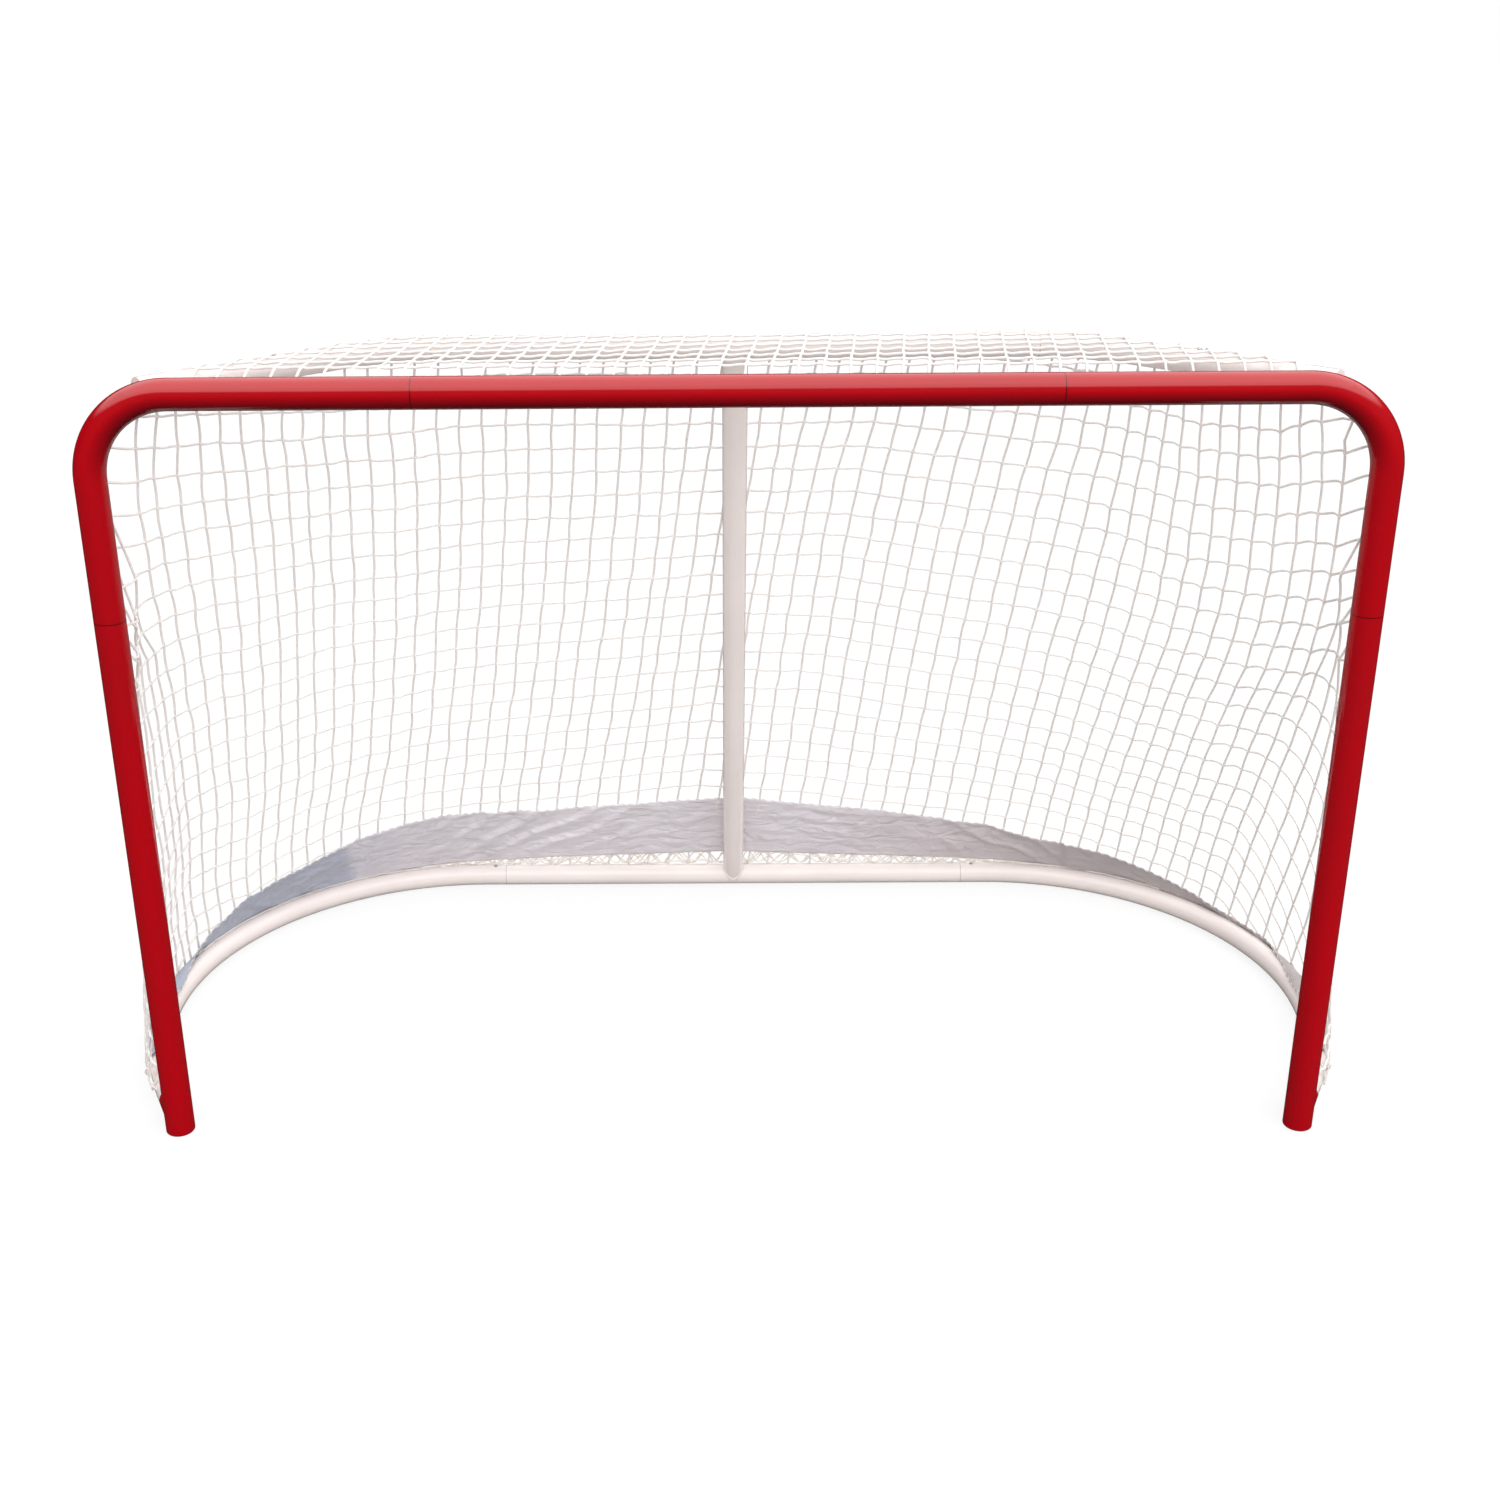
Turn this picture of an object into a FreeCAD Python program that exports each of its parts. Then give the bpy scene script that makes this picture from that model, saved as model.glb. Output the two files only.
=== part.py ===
"""Ice hockey goal: a red tube front frame, a white tube frame behind it, a net and a skirt.

Millimetres, +Z up. X runs along the crossbar and the mouth faces -Y. The origin is on the floor, in
the middle of the goal's footprint. Every right-hand piece is built, and the left one mirrors it.
"""
import FreeCAD, Part
import math
import os
import Sketcher
from FreeCAD import Placement, Rotation, Vector

# Driving sizes: name, value in millimetres or degrees
SIZES = [
    ("mouth_width", 1828.8),          # opening, 72 in between the posts
    ("mouth_height", 1219.2),         # opening, 48 in under the crossbar
    ("bar_od", 47.6),                 # red tube
    ("bar_wall", 2.0),
    ("corner_radius", 125.0),         # red corners, on the tube's axis
    ("crossbar_middle_length", 926.0),
    ("lower_post_length", 900.0),     # from the foot cap to the seam
    ("cap_thickness", 4.0),
    ("cap_plug_length", 26.0),
    ("cap_rounding", 2.5),
    ("frame_od", 41.3),               # white floor tube and centre post
    ("frame_wall", 1.6),
    ("stub_reach", 68.0),             # from the post's axis to the stub's end
    ("base_heading", 26.0),           # floor tube's turn outwards at the post
    ("base_run", 42.0),
    ("base_front_radius", 630.0),
    ("base_rear_radius", 525.0),
    ("base_tail", 46.0),              # straight end before the rear seam
    ("shelf_od", 38.1),               # white bow behind the crossbar
    ("shelf_wall", 1.6),
    ("shelf_heading", 47.0),          # bow's turn inwards at the corner
    ("shelf_start", 43.0),            # its axis meets the crossbar's axis this far inside the post
    ("shelf_gap_at_corner", 44.0),    # its end stands off the crossbar's axis, along its own
    ("shelf_leg", 382.0),             # from the crossbar's axis to its bend
    ("shelf_bend_radius", 250.0),
    ("shelf_tail", 90.0),             # bow's straight end before the seam
    ("shelf_end_plate", 2.0),
    ("sleeve_fit", 0.15),             # radial gap between a sleeve and its tube
    ("sleeve_wall", 1.5),
    ("bar_sleeve_length", 140.0),
    ("base_sleeve_in_side", 42.0),
    ("base_sleeve_in_rear", 70.0),
    ("stub_sleeve_length", 78.0),
    ("shelf_sleeve_in_arm", 42.0),
    ("shelf_sleeve_in_bow", 70.0),
    ("button_radius", 4.0),
    ("button_proud", 3.2),            # height above the tube
    ("button_hole_gap", 0.25),
    ("button_flange_radius", 5.5),
    ("button_flange_thickness", 1.5),
    ("button_from_seam", 23.0),
    ("clip_strip", 0.7),
    ("clip_width", 9.0),
    ("clip_length", 44.0),
    ("screw_shank_radius", 2.4),
    ("screw_head_radius", 5.0),
    ("screw_head_top_radius", 3.2),
    ("screw_head_height", 2.4),
    ("screw_length", 14.0),
    ("screw_from_seam", 30.0),
    ("screw_turn", 50.0),             # of the frame screws, from straight behind
    ("screw_hole_gap", 0.15),
    ("saddle_thickness", 2.2),
    ("saddle_radius", 22.2),          # half width of the lobes that lap over the tubes
    ("saddle_plug_length", 34.0),
    ("seat_gap", 0.3),
    ("hook_radius", 7.0),
    ("hook_wire", 3.0),
    ("hook_spacing", 150.0),
    ("hook_end_margin", 60.0),
    ("cord_radius", 2.5),
    ("net_pitch", 76.2),              # two of the real 38.1 mm meshes
    ("net_strand", 7.0),
    ("net_border", 10.0),
    ("net_thickness", 2.4),
    ("net_seam", 0.3),                # gap between panels at their seams
    ("net_least_share", 0.125),       # smallest gap at an edge, as a share of a full one
    ("net_low", 36.0),                # height of its lower edge
    ("net_front_low", 70.0),          # the same behind the posts
    ("side_turn", 10.0),              # headings of the side panels, inwards from straight back
    ("corner_turn", 68.5),
    ("skirt_thickness", 2.0),
    ("skirt_gap", 0.4),
    ("skirt_start", 60.0),            # from the post, along the floor tube
    ("skirt_front_inset", 26.0),      # it stands this far inside the tube's axis there
    ("skirt_front_length", 150.0),
    ("skirt_fold", 9.0),              # depth of a fold
    ("skirt_folds", 5.0),             # along each half
    ("skirt_fold_steps", 6.0),        # sections in each fold
    ("skirt_upright_share", 0.6),     # of the way to the corner, where it comes to lean with the net
    ("skirt_flat_width", 60.0),       # behind the centre post, to each side
    ("skirt_belly", 0.2),
    ("skirt_centre_top", 232.0),
    ("skirt_side_top", 108.0),
    ("skirt_end_top", 66.0),
    ("skirt_centre_hem", 72.0),
    ("skirt_side_hem", 47.0),
]

doc = FreeCAD.newDocument("hockey_goal")
sheet = doc.addObject("Spreadsheet::Sheet", "Sizes")
for row, (alias, number) in enumerate(SIZES, 1):
    sheet.set(f"A{row}", alias)
    sheet.set(f"B{row}", str(number))
    sheet.setAlias(f"B{row}", alias)
doc.recompute()


class Size:
    """A length or an angle: the expression on the sheet's cells, and the number that it gives."""

    def __init__(self, text, number):
        self.text = text
        self.number = number

    def __float__(self):
        return self.number

    def __add__(self, other):
        other = sized(other)
        return Size(f"({self.text} + {other.text})", self.number + other.number)

    def __sub__(self, other):
        other = sized(other)
        return Size(f"({self.text} - {other.text})", self.number - other.number)

    def __mul__(self, other):
        other = sized(other)
        return Size(f"({self.text} * {other.text})", self.number * other.number)

    def __truediv__(self, other):
        other = sized(other)
        return Size(f"({self.text} / {other.text})", self.number / other.number)

    def __neg__(self):
        return Size(f"(0 - {self.text})", -self.number)

    def __rmul__(self, other):
        return sized(other) * self

    def __radd__(self, other):
        return sized(other) + self

    def __rsub__(self, other):
        return sized(other) - self


def sized(value):
    """A plain number as a Size; a Size stays as it is."""
    return value if isinstance(value, Size) else Size(f"({float(value)!r})", float(value))


def sine(angle):
    return Size(f"sin({angle.text})", math.sin(math.radians(float(angle))))


def cosine(angle):
    return Size(f"cos({angle.text})", math.cos(math.radians(float(angle))))


def cell(alias):
    return Size(f"Sizes.{alias}", float(getattr(sheet, alias)))


X_AXIS, Y_AXIS, Z_AXIS = Vector(1, 0, 0), Vector(0, 1, 0), Vector(0, 0, 1)
ZERO = sized(0)
QUARTER = sized(90)
UP_THE_POST, UP_THE_POST_TURN = Vector(1, -1, 1), sized(120)    # +X upwards and +Y inwards

bar_radius = cell("bar_od") / 2
bar_bore = bar_radius - cell("bar_wall")
frame_radius = cell("frame_od") / 2
frame_bore = frame_radius - cell("frame_wall")
shelf_radius = cell("shelf_od") / 2
shelf_bore = shelf_radius - cell("shelf_wall")
post_x = cell("mouth_width") / 2 + bar_radius
bar_z = cell("mouth_height") + bar_radius
base_z = frame_radius
crossbar_seam_x = cell("crossbar_middle_length") / 2
post_seam_z = cell("cap_thickness") + cell("lower_post_length")
corner_x = post_x - cell("corner_radius")
corner_z = bar_z - cell("corner_radius")

# Plan of the floor tube, measured from the post's axis
heading = cell("base_heading")
base_straight = cell("stub_reach") + cell("base_run")
base_wide_x = post_x + base_straight * sine(heading) + cell("base_front_radius") * (1 - cosine(heading))
base_wide_y = base_straight * cosine(heading) + cell("base_front_radius") * sine(heading)
base_bend_x = base_wide_x - cell("base_rear_radius")
base_depth = base_wide_y + cell("base_rear_radius")
base_seam_x = base_bend_x - cell("base_tail")
hook_reach = cell("hook_radius") + cell("hook_wire") / 2
front_y = (bar_radius - base_depth - frame_radius - hook_reach) / 2
rear_y = front_y + base_depth

# Plan of the bow: a straight leg from the corner, a bend, and a straight stretch at the back
lean_in = cell("shelf_heading")
shelf_foot_x = post_x - cell("shelf_start")
shelf_turn = QUARTER - lean_in
shelf_bend_x = shelf_foot_x - cell("shelf_leg") * sine(lean_in)
shelf_bend_y = front_y + cell("shelf_leg") * cosine(lean_in)
shelf_rear_x = shelf_bend_x - cell("shelf_bend_radius") * cosine(lean_in)
shelf_rear_y = shelf_bend_y + cell("shelf_bend_radius") * (1 - sine(lean_in))
shelf_seam = cell("shelf_leg") - cell("shelf_tail")


def along_shelf(distance):
    """X and Y of a point on the bow's straight leg, this far from the crossbar's axis."""
    return shelf_foot_x - distance * sine(lean_in), front_y + distance * cosine(lean_in)


def place(item, x=ZERO, y=ZERO, z=ZERO, axis=Z_AXIS, angle=ZERO):
    """Puts an object somewhere, with its place bound to the sheet."""
    x, y, z, angle = sized(x), sized(y), sized(z), sized(angle)
    item.Placement = Placement(Vector(float(x), float(y), float(z)), Rotation(axis, float(angle)))
    for letter, size in (("x", x), ("y", y), ("z", z)):
        if size.text != ZERO.text:
            item.setExpression(f"Placement.Base.{letter}", size.text)
    if angle.text != ZERO.text:
        item.setExpression("Placement.Rotation.Angle", angle.text)
    return item


def bound(item, **sizes):
    """Binds properties of an object to the sheet."""
    for name, size in sizes.items():
        item.setExpression(name, sized(size).text)
    return item


def cylinder(name, radius, height):
    return bound(doc.addObject("Part::Cylinder", name), Radius=radius, Height=height)


def cut(name, base, tool):
    item = doc.addObject("Part::Cut", name)
    item.Base, item.Tool = base, tool
    return item


def fuse(name, *shapes):
    item = doc.addObject("Part::MultiFuse", name)
    item.Shapes = list(shapes)
    return item


def common(name, *shapes):
    item = doc.addObject("Part::MultiCommon", name)
    item.Shapes = list(shapes)
    return item


def straight_tube(name, outer, bore, length, **where):
    """A tube along its own Z from the place given."""
    shell = place(cylinder(f"{name}_outside", outer, length), **where)
    core = place(cylinder(f"{name}_bore", bore, length), **where)
    return cut(name, shell, core)


def origin_plane(body, role):
    for feature in body.Origin.OriginFeatures:
        if feature.Role == role:
            return feature


def sketch_on(body, name, role):
    sketch = body.newObject("Sketcher::SketchObject", name)
    sketch.AttachmentSupport = [(origin_plane(body, role), "")]
    sketch.MapMode = "FlatFace"
    return sketch


def bind_constraint(sketch, constraint, size):
    index = sketch.addConstraint(constraint)
    sketch.setExpression(f"Constraints[{index}]", size.text)


def path_sketch(body, name, steps):
    """A path from the origin along +X. A step is a length, or a radius with a turn to the left."""
    sketch = sketch_on(body, name, "XY_Plane")
    here, way = Vector(0, 0, 0), 0.0
    last = None
    for step in steps:
        if len(step) == 1:
            length = step[0]
            there = here + Vector(math.cos(way), math.sin(way), 0) * float(length)
            item = sketch.addGeometry(Part.LineSegment(here, there), False)
            first, final = 1, 2
            bind_constraint(sketch, Sketcher.Constraint("Distance", item, float(length)), length)
            if last is None:
                sketch.addConstraint(Sketcher.Constraint("Coincident", item, 1, -1, 1))
                sketch.addConstraint(Sketcher.Constraint("Horizontal", item))
        else:
            radius, turn = step
            side = 1 if float(turn) > 0 else -1
            middle = here + Vector(-math.sin(way), math.cos(way), 0) * float(radius) * side
            start = math.atan2(here.y - middle.y, here.x - middle.x)
            end = start + math.radians(float(turn))
            circle = Part.Circle(middle, Z_AXIS, float(radius))
            item = sketch.addGeometry(Part.ArcOfCircle(circle, min(start, end), max(start, end)), False)
            first, final = (1, 2) if side > 0 else (2, 1)
            there = middle + Vector(math.cos(end), math.sin(end), 0) * float(radius)
            way += math.radians(float(turn))
            bind_constraint(sketch, Sketcher.Constraint("Radius", item, float(radius)), radius)
            span = turn if side > 0 else -turn
            bind_constraint(sketch, Sketcher.Constraint("Angle", item, math.radians(float(span))), span)
        if last is not None:
            sketch.addConstraint(Sketcher.Constraint("Tangent", last[0], last[1], item, first))
        last = (item, final)
        here = there
    return sketch


def bent_rod(name, radius, steps, bore=None):
    """A round bar, or a tube where a bore is given, along a path of lines and arcs."""
    body = doc.addObject("PartDesign::Body", name)
    path = path_sketch(body, f"{name}_path", steps)
    profile = sketch_on(body, f"{name}_profile", "YZ_Plane")
    for size in (radius, bore):
        if size is not None:
            ring = profile.addGeometry(Part.Circle(Vector(0, 0, 0), Z_AXIS, float(size)), False)
            profile.addConstraint(Sketcher.Constraint("Coincident", ring, 3, -1, 1))
            bind_constraint(profile, Sketcher.Constraint("Radius", ring, float(size)), size)
    pipe = body.newObject("PartDesign::AdditivePipe", f"{name}_pipe")
    pipe.Profile = profile
    pipe.Spine = path
    return body


def hole(name, x, y, z):
    """A drill along Z for a button, from the point given upwards."""
    drill = cylinder(name, cell("button_radius") + cell("button_hole_gap"), frame_radius * 2)
    return place(drill, x, y, z)


def screw_hole(name, point, outward):
    """A drill for a screw, from a tube's axis outwards."""
    drill = cylinder(name, cell("screw_shank_radius") + cell("screw_hole_gap"), bar_radius * 2)
    drill.Placement = Placement(point, Rotation(Z_AXIS, outward))
    return drill


def flat_way(angle):
    """The sine and cosine of an angle on the sheet."""
    return float(sine(angle)), float(cosine(angle))


# Places of the screws: a point on the tube's axis and the way out to the head
screw_side, screw_back = flat_way(cell("screw_turn"))
heading_side, heading_back = flat_way(heading)
stub_screw_reach = float(cell("stub_reach") + cell("stub_sleeve_length") / 4)
bar_screw = (Vector(float(crossbar_seam_x + cell("screw_from_seam")), float(front_y), float(bar_z)),
             Vector(0, screw_back, -screw_side))
post_screw = (Vector(float(post_x), float(front_y), float(post_seam_z - cell("screw_from_seam"))),
              Vector(screw_side, screw_back, 0))
stub_screw = (Vector(float(post_x) + stub_screw_reach * heading_side,
                     float(front_y) + stub_screw_reach * heading_back, float(base_z)),
              Vector(-heading_back, heading_side, 0))


nodes = {}


def keep(name, item):
    """Marks an object as a piece of the goal: its label names its file."""
    item.Label = name
    nodes[name] = item
    return item


def other_side(item):
    """The mirror image of a right-hand piece, on the left."""
    twin = doc.addObject("Part::Mirroring", f"{item.Name}_twin")
    twin.Source = item
    twin.Base = Vector(0, 0, 0)
    twin.Normal = X_AXIS
    return twin


def keep_pair(name, item):
    """Keeps a right-hand piece and its mirror image."""
    keep(f"{name}_right", item)
    keep(f"{name}_left", other_side(item))


def lengthwise(length):
    """A place for a piece along X, centred on the middle of the goal."""
    return dict(x=-(length / 2), axis=Y_AXIS, angle=QUARTER)


# Crossbar: straight red tube between its two seams
keep("crossbar_middle", straight_tube(
    "crossbar_middle_tube", bar_radius, bar_bore, cell("crossbar_middle_length"),
    y=front_y, z=bar_z, **lengthwise(cell("crossbar_middle_length"))))

# Corners: bent red tube, part of the crossbar and of the post in one
weld_root = cell("bar_wall") / 2
weld_gap = cell("seat_gap") / 2
corner_steps = [(corner_x - crossbar_seam_x,), (cell("corner_radius"), -QUARTER), (corner_z - post_seam_z,)]
corner_tube = place(bent_rod("corner_tube", bar_radius, corner_steps, bar_bore),
                    crossbar_seam_x, front_y, bar_z, X_AXIS, QUARTER)
keep_pair("corner", cut("corner", corner_tube, screw_hole("corner_hole", *bar_screw)))

# Lower posts: straight red tube with a stub at the foot for the floor tube
post_tube = straight_tube("post_tube", bar_radius, bar_bore, cell("lower_post_length"),
                          x=post_x, y=front_y, z=cell("cap_thickness"))
base_way = Rotation(Z_AXIS, 90 - float(heading)).multiply(Rotation(Y_AXIS, 90))
post_stub = straight_tube("post_stub", frame_radius, frame_bore, cell("stub_reach"))
post_stub.Placement = Placement(Vector(float(post_x), float(front_y), float(base_z)), base_way)
post_core = place(cylinder("post_core", bar_radius - weld_root, cell("lower_post_length")), post_x, front_y)
cap_room = cylinder("cap_room", bar_radius + cell("seat_gap"), cell("cap_thickness"))
place(cap_room, post_x, front_y)
post_cuts = fuse("post_cuts", cap_room, screw_hole("post_hole", *post_screw))
post_with_stub = fuse("post_with_stub", post_tube, cut("post_stub_trimmed", post_stub, post_core))
keep_pair("lower_post", cut("lower_post", post_with_stub, post_cuts))

# Foot caps: a round-edged disc under the post and a plug inside it
cap_disc = cylinder("cap_disc", bar_radius, cell("cap_thickness"))
cap_edge = doc.addObject("Part::Fillet", "cap_edge")
cap_edge.Base = cap_disc
doc.recompute()
low_edge = min(range(len(cap_disc.Shape.Edges)), key=lambda i: cap_disc.Shape.Edges[i].CenterOfMass.z)
cap_edge.Edges = [(low_edge + 1, float(cell("cap_rounding")), float(cell("cap_rounding")))]
cap_height = cell("cap_thickness") + cell("cap_plug_length")
cap_plug = cylinder("cap_plug", bar_bore - cell("sleeve_fit"), cap_height)
keep_pair("foot_cap", place(fuse("foot_cap", cap_edge, cap_plug), post_x, front_y))

# Floor tube: a bent piece at each side and a straight one across the back, with holes for the buttons
base_button_x = base_seam_x + cell("button_from_seam")
base_tube = bent_rod("base_tube", frame_radius, [
    (cell("base_run"),),
    (cell("base_front_radius"), heading),
    (cell("base_rear_radius"), QUARTER),
    (cell("base_tail"),),
], frame_bore)
place(base_tube, post_x + cell("stub_reach") * sine(heading), front_y + cell("stub_reach") * cosine(heading),
      base_z, Z_AXIS, QUARTER - heading)
base_cuts = fuse("base_cuts", hole("base_side_hole", base_button_x, rear_y, base_z),
                 screw_hole("base_screw_hole", *stub_screw))
keep_pair("base_side", cut("base_side", base_tube, base_cuts))
keep("base_rear", straight_tube("base_rear_tube", frame_radius, frame_bore, base_seam_x * 2,
                                y=rear_y, z=base_z, **lengthwise(base_seam_x * 2)))

# Top tube behind the crossbar: an arm welded to each corner, shaped to it, and a bow between the arms
shelf_turned = dict(axis=Z_AXIS, angle=QUARTER + lean_in)
arm_length = shelf_seam - cell("shelf_gap_at_corner")
arm_x, arm_y = along_shelf(cell("shelf_gap_at_corner"))
shelf_button_x, shelf_button_y = along_shelf(shelf_seam - cell("button_from_seam"))
arm_rod = bent_rod("arm_rod", shelf_radius, [(arm_length,)])
arm_hollow = bent_rod("arm_hollow", shelf_bore, [(arm_length,)])
place(arm_rod, arm_x, arm_y, bar_z, **shelf_turned)
hollow_x, hollow_y = along_shelf(cell("shelf_gap_at_corner") + cell("shelf_end_plate"))
place(arm_hollow, hollow_x, hollow_y, bar_z, **shelf_turned)
corner_room = place(bent_rod("corner_room", bar_radius + weld_gap, corner_steps),
                    crossbar_seam_x, front_y, bar_z, X_AXIS, QUARTER)
arm_cuts = fuse("arm_cuts", corner_room, hole("arm_hole", shelf_button_x, shelf_button_y, bar_z))
keep_pair("shelf_arm", cut("shelf_arm", cut("arm_tube", arm_rod, arm_hollow), arm_cuts))
seam_x, seam_y = along_shelf(shelf_seam)
keep("shelf_bow", place(bent_rod("shelf_bow", shelf_radius, [
    (cell("shelf_tail"),),
    (cell("shelf_bend_radius"), shelf_turn),
    (shelf_rear_x * 2,),
    (cell("shelf_bend_radius"), shelf_turn),
    (cell("shelf_tail"),),
], shelf_bore), seam_x, seam_y, bar_z, **shelf_turned))

# Sleeves: inner tubes at every seam, each the bore of its tube less the fit
bar_sleeve = bar_bore - cell("sleeve_fit")
frame_sleeve = frame_bore - cell("sleeve_fit")
shelf_sleeve = shelf_bore - cell("sleeve_fit")
half_sleeve = cell("bar_sleeve_length") / 2
crossbar_sleeve = straight_tube(
    "crossbar_sleeve_tube", bar_sleeve, bar_sleeve - cell("sleeve_wall"), cell("bar_sleeve_length"),
    x=crossbar_seam_x - half_sleeve, y=front_y, z=bar_z, axis=Y_AXIS, angle=QUARTER)
keep_pair("crossbar_sleeve", cut("crossbar_sleeve", crossbar_sleeve,
                                 screw_hole("crossbar_sleeve_hole", *bar_screw)))
post_sleeve = straight_tube(
    "post_sleeve_tube", bar_sleeve, bar_sleeve - cell("sleeve_wall"), cell("bar_sleeve_length"),
    x=post_x, y=front_y, z=post_seam_z - half_sleeve)
keep_pair("post_sleeve", cut("post_sleeve", post_sleeve, screw_hole("post_sleeve_hole", *post_screw)))
base_sleeve = straight_tube(
    "base_sleeve_tube", frame_sleeve, frame_sleeve - cell("sleeve_wall"),
    cell("base_sleeve_in_side") + cell("base_sleeve_in_rear"),
    x=base_seam_x - cell("base_sleeve_in_rear"), y=rear_y, z=base_z, axis=Y_AXIS, angle=QUARTER)
keep_pair("base_sleeve", cut("base_sleeve", base_sleeve,
                             hole("base_sleeve_hole", base_button_x, rear_y, base_z)))
stub_sleeve = straight_tube("stub_sleeve_tube", frame_sleeve, frame_sleeve - cell("sleeve_wall"),
                            cell("stub_sleeve_length"))
stub_sleeve_start = cell("stub_reach") - cell("stub_sleeve_length") / 2
stub_sleeve.Placement = Placement(Vector(
    float(post_x + stub_sleeve_start * sine(heading)),
    float(front_y + stub_sleeve_start * cosine(heading)), float(base_z)), base_way)
keep_pair("stub_sleeve", cut("stub_sleeve", stub_sleeve, screw_hole("stub_sleeve_hole", *stub_screw)))
shelf_sleeve_x, shelf_sleeve_y = along_shelf(shelf_seam - cell("shelf_sleeve_in_arm"))
shelf_sleeve_tube = bent_rod("shelf_sleeve_tube", shelf_sleeve, [
    (cell("shelf_sleeve_in_arm") + cell("shelf_sleeve_in_bow"),),
], shelf_sleeve - cell("sleeve_wall"))
place(shelf_sleeve_tube, shelf_sleeve_x, shelf_sleeve_y, bar_z, **shelf_turned)
keep_pair("shelf_sleeve", cut("shelf_sleeve", shelf_sleeve_tube,
                              hole("shelf_sleeve_hole", shelf_button_x, shelf_button_y, bar_z)))


def spring_button(name, tube_radius, inner_radius, x, y, z, turn):
    """A button through a tube's top, and the bent leaf spring that carries it inside the sleeve."""
    flange_radius = cell("button_flange_radius")
    flange_z = math.sqrt(float(inner_radius) ** 2 - float(flange_radius) ** 2) - float(cell("seat_gap"))
    flange_top = sized(flange_z)
    flange = place(cylinder(f"{name}_flange", flange_radius, cell("button_flange_thickness")),
                   z=flange_top - cell("button_flange_thickness"))
    stem_top = tube_radius + cell("button_proud") - cell("button_radius")
    stem_foot = flange_top - cell("button_flange_thickness") / 2
    stem = place(cylinder(f"{name}_stem", cell("button_radius"), stem_top - stem_foot), z=stem_foot)
    dome = bound(doc.addObject("Part::Sphere", f"{name}_dome"), Radius=cell("button_radius"))
    place(dome, z=stem_top)
    keep_pair(f"button_{name}", place(fuse(f"{name}_button", flange, stem, dome), x, y, z, Z_AXIS, turn))

    half_width = cell("clip_width") / 2
    floor = -sized(math.sqrt(float(inner_radius) ** 2 - float(half_width) ** 2)) + cell("seat_gap")
    roof = flange_top - cell("button_flange_thickness") - cell("seat_gap") / 2
    body = doc.addObject("PartDesign::Body", f"clip_{name}_body")
    sketch = sketch_on(body, f"clip_{name}_outline", "XZ_Plane")
    strip, reach = float(cell("clip_strip")), float(cell("clip_length"))
    low, high = float(floor), float(roof)
    tip = float(flange_radius)
    bend = (high - low) / 4
    outer = [Vector(tip, low, 0), Vector(bend - reach, low, 0), Vector(bend - reach, low + 2 * bend, 0),
             Vector(-tip, high, 0), Vector(tip, high, 0)]
    inner = [Vector(tip, high - strip, 0), Vector(-tip, high - strip, 0),
             Vector(bend - reach, low + 2 * bend - strip, 0), Vector(bend - reach, low + strip, 0),
             Vector(tip, low + strip, 0)]
    round_outer = Vector(-reach, low + bend, 0)
    round_inner = Vector(strip - reach, low + bend, 0)
    edges = [Part.LineSegment(outer[0], outer[1]), Part.Arc(outer[1], round_outer, outer[2]),
             Part.LineSegment(outer[2], outer[3]), Part.LineSegment(outer[3], outer[4]),
             Part.LineSegment(outer[4], inner[0]), Part.LineSegment(inner[0], inner[1]),
             Part.LineSegment(inner[1], inner[2]), Part.Arc(inner[2], round_inner, inner[3]),
             Part.LineSegment(inner[3], inner[4]), Part.LineSegment(inner[4], outer[0])]
    sketch.addGeometry(edges, False)
    pad = body.newObject("PartDesign::Pad", f"clip_{name}_pad")
    pad.Profile = sketch
    pad.Midplane = True
    bound(pad, Length=cell("clip_width"))
    keep_pair(f"clip_{name}", place(body, x, y, z, Z_AXIS, turn))


spring_button("base", frame_radius, frame_sleeve - cell("sleeve_wall"),
              base_button_x, rear_y, base_z, ZERO)
spring_button("shelf", shelf_radius, shelf_sleeve - cell("sleeve_wall"),
              shelf_button_x, shelf_button_y, bar_z, lean_in - QUARTER)

# Centre post: a leaning tube between the floor tube and the bow, with a lapped saddle at each end
rise = float(bar_z - base_z)
run = float(rear_y - shelf_rear_y)
lean = math.degrees(math.atan2(run, rise))
post_length = math.hypot(rise, run)
post_way = Rotation(X_AXIS, lean)
post_foot = Vector(0, float(rear_y), float(base_z))


def along_post(item, distance):
    """Puts an object on the centre post's axis, a distance up from the floor tube's axis."""
    item.Placement = Placement(post_foot + post_way.multVec(Z_AXIS) * float(distance), post_way)
    return item


def cross_rod(name, radius, height, y, z):
    """A rod along X through the middle of the goal."""
    return place(cylinder(name, radius, height), y=y, z=z, **lengthwise(height))


saddle_width = cell("saddle_radius") * 4
post_shell = along_post(cylinder("centre_post_shell", frame_radius, sized(post_length)), 0)
post_hollow = along_post(cylinder("centre_post_hollow", frame_bore, sized(post_length)), 0)
room = cell("seat_gap") + cell("saddle_thickness") + cell("seat_gap") / 2
low_room = cross_rod("low_room", frame_radius + room, saddle_width, rear_y, base_z)
high_room = cross_rod("high_room", shelf_radius + room, saddle_width, shelf_rear_y, bar_z)
to_back = post_way.multVec(Y_AXIS)
plug_reach = float(room + cell("saddle_plug_length") / 2)
up_post = post_way.multVec(Z_AXIS)
low_screw = (post_foot + up_post * (float(frame_radius) + plug_reach), to_back)
high_screw = (post_foot + up_post * (post_length - float(shelf_radius) - plug_reach), to_back)
centre_tube = cut("centre_tube", post_shell, post_hollow)
centre_cuts = fuse("centre_cuts", low_room, high_room, screw_hole("low_hole", *low_screw),
                   screw_hole("high_hole", *high_screw))
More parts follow.
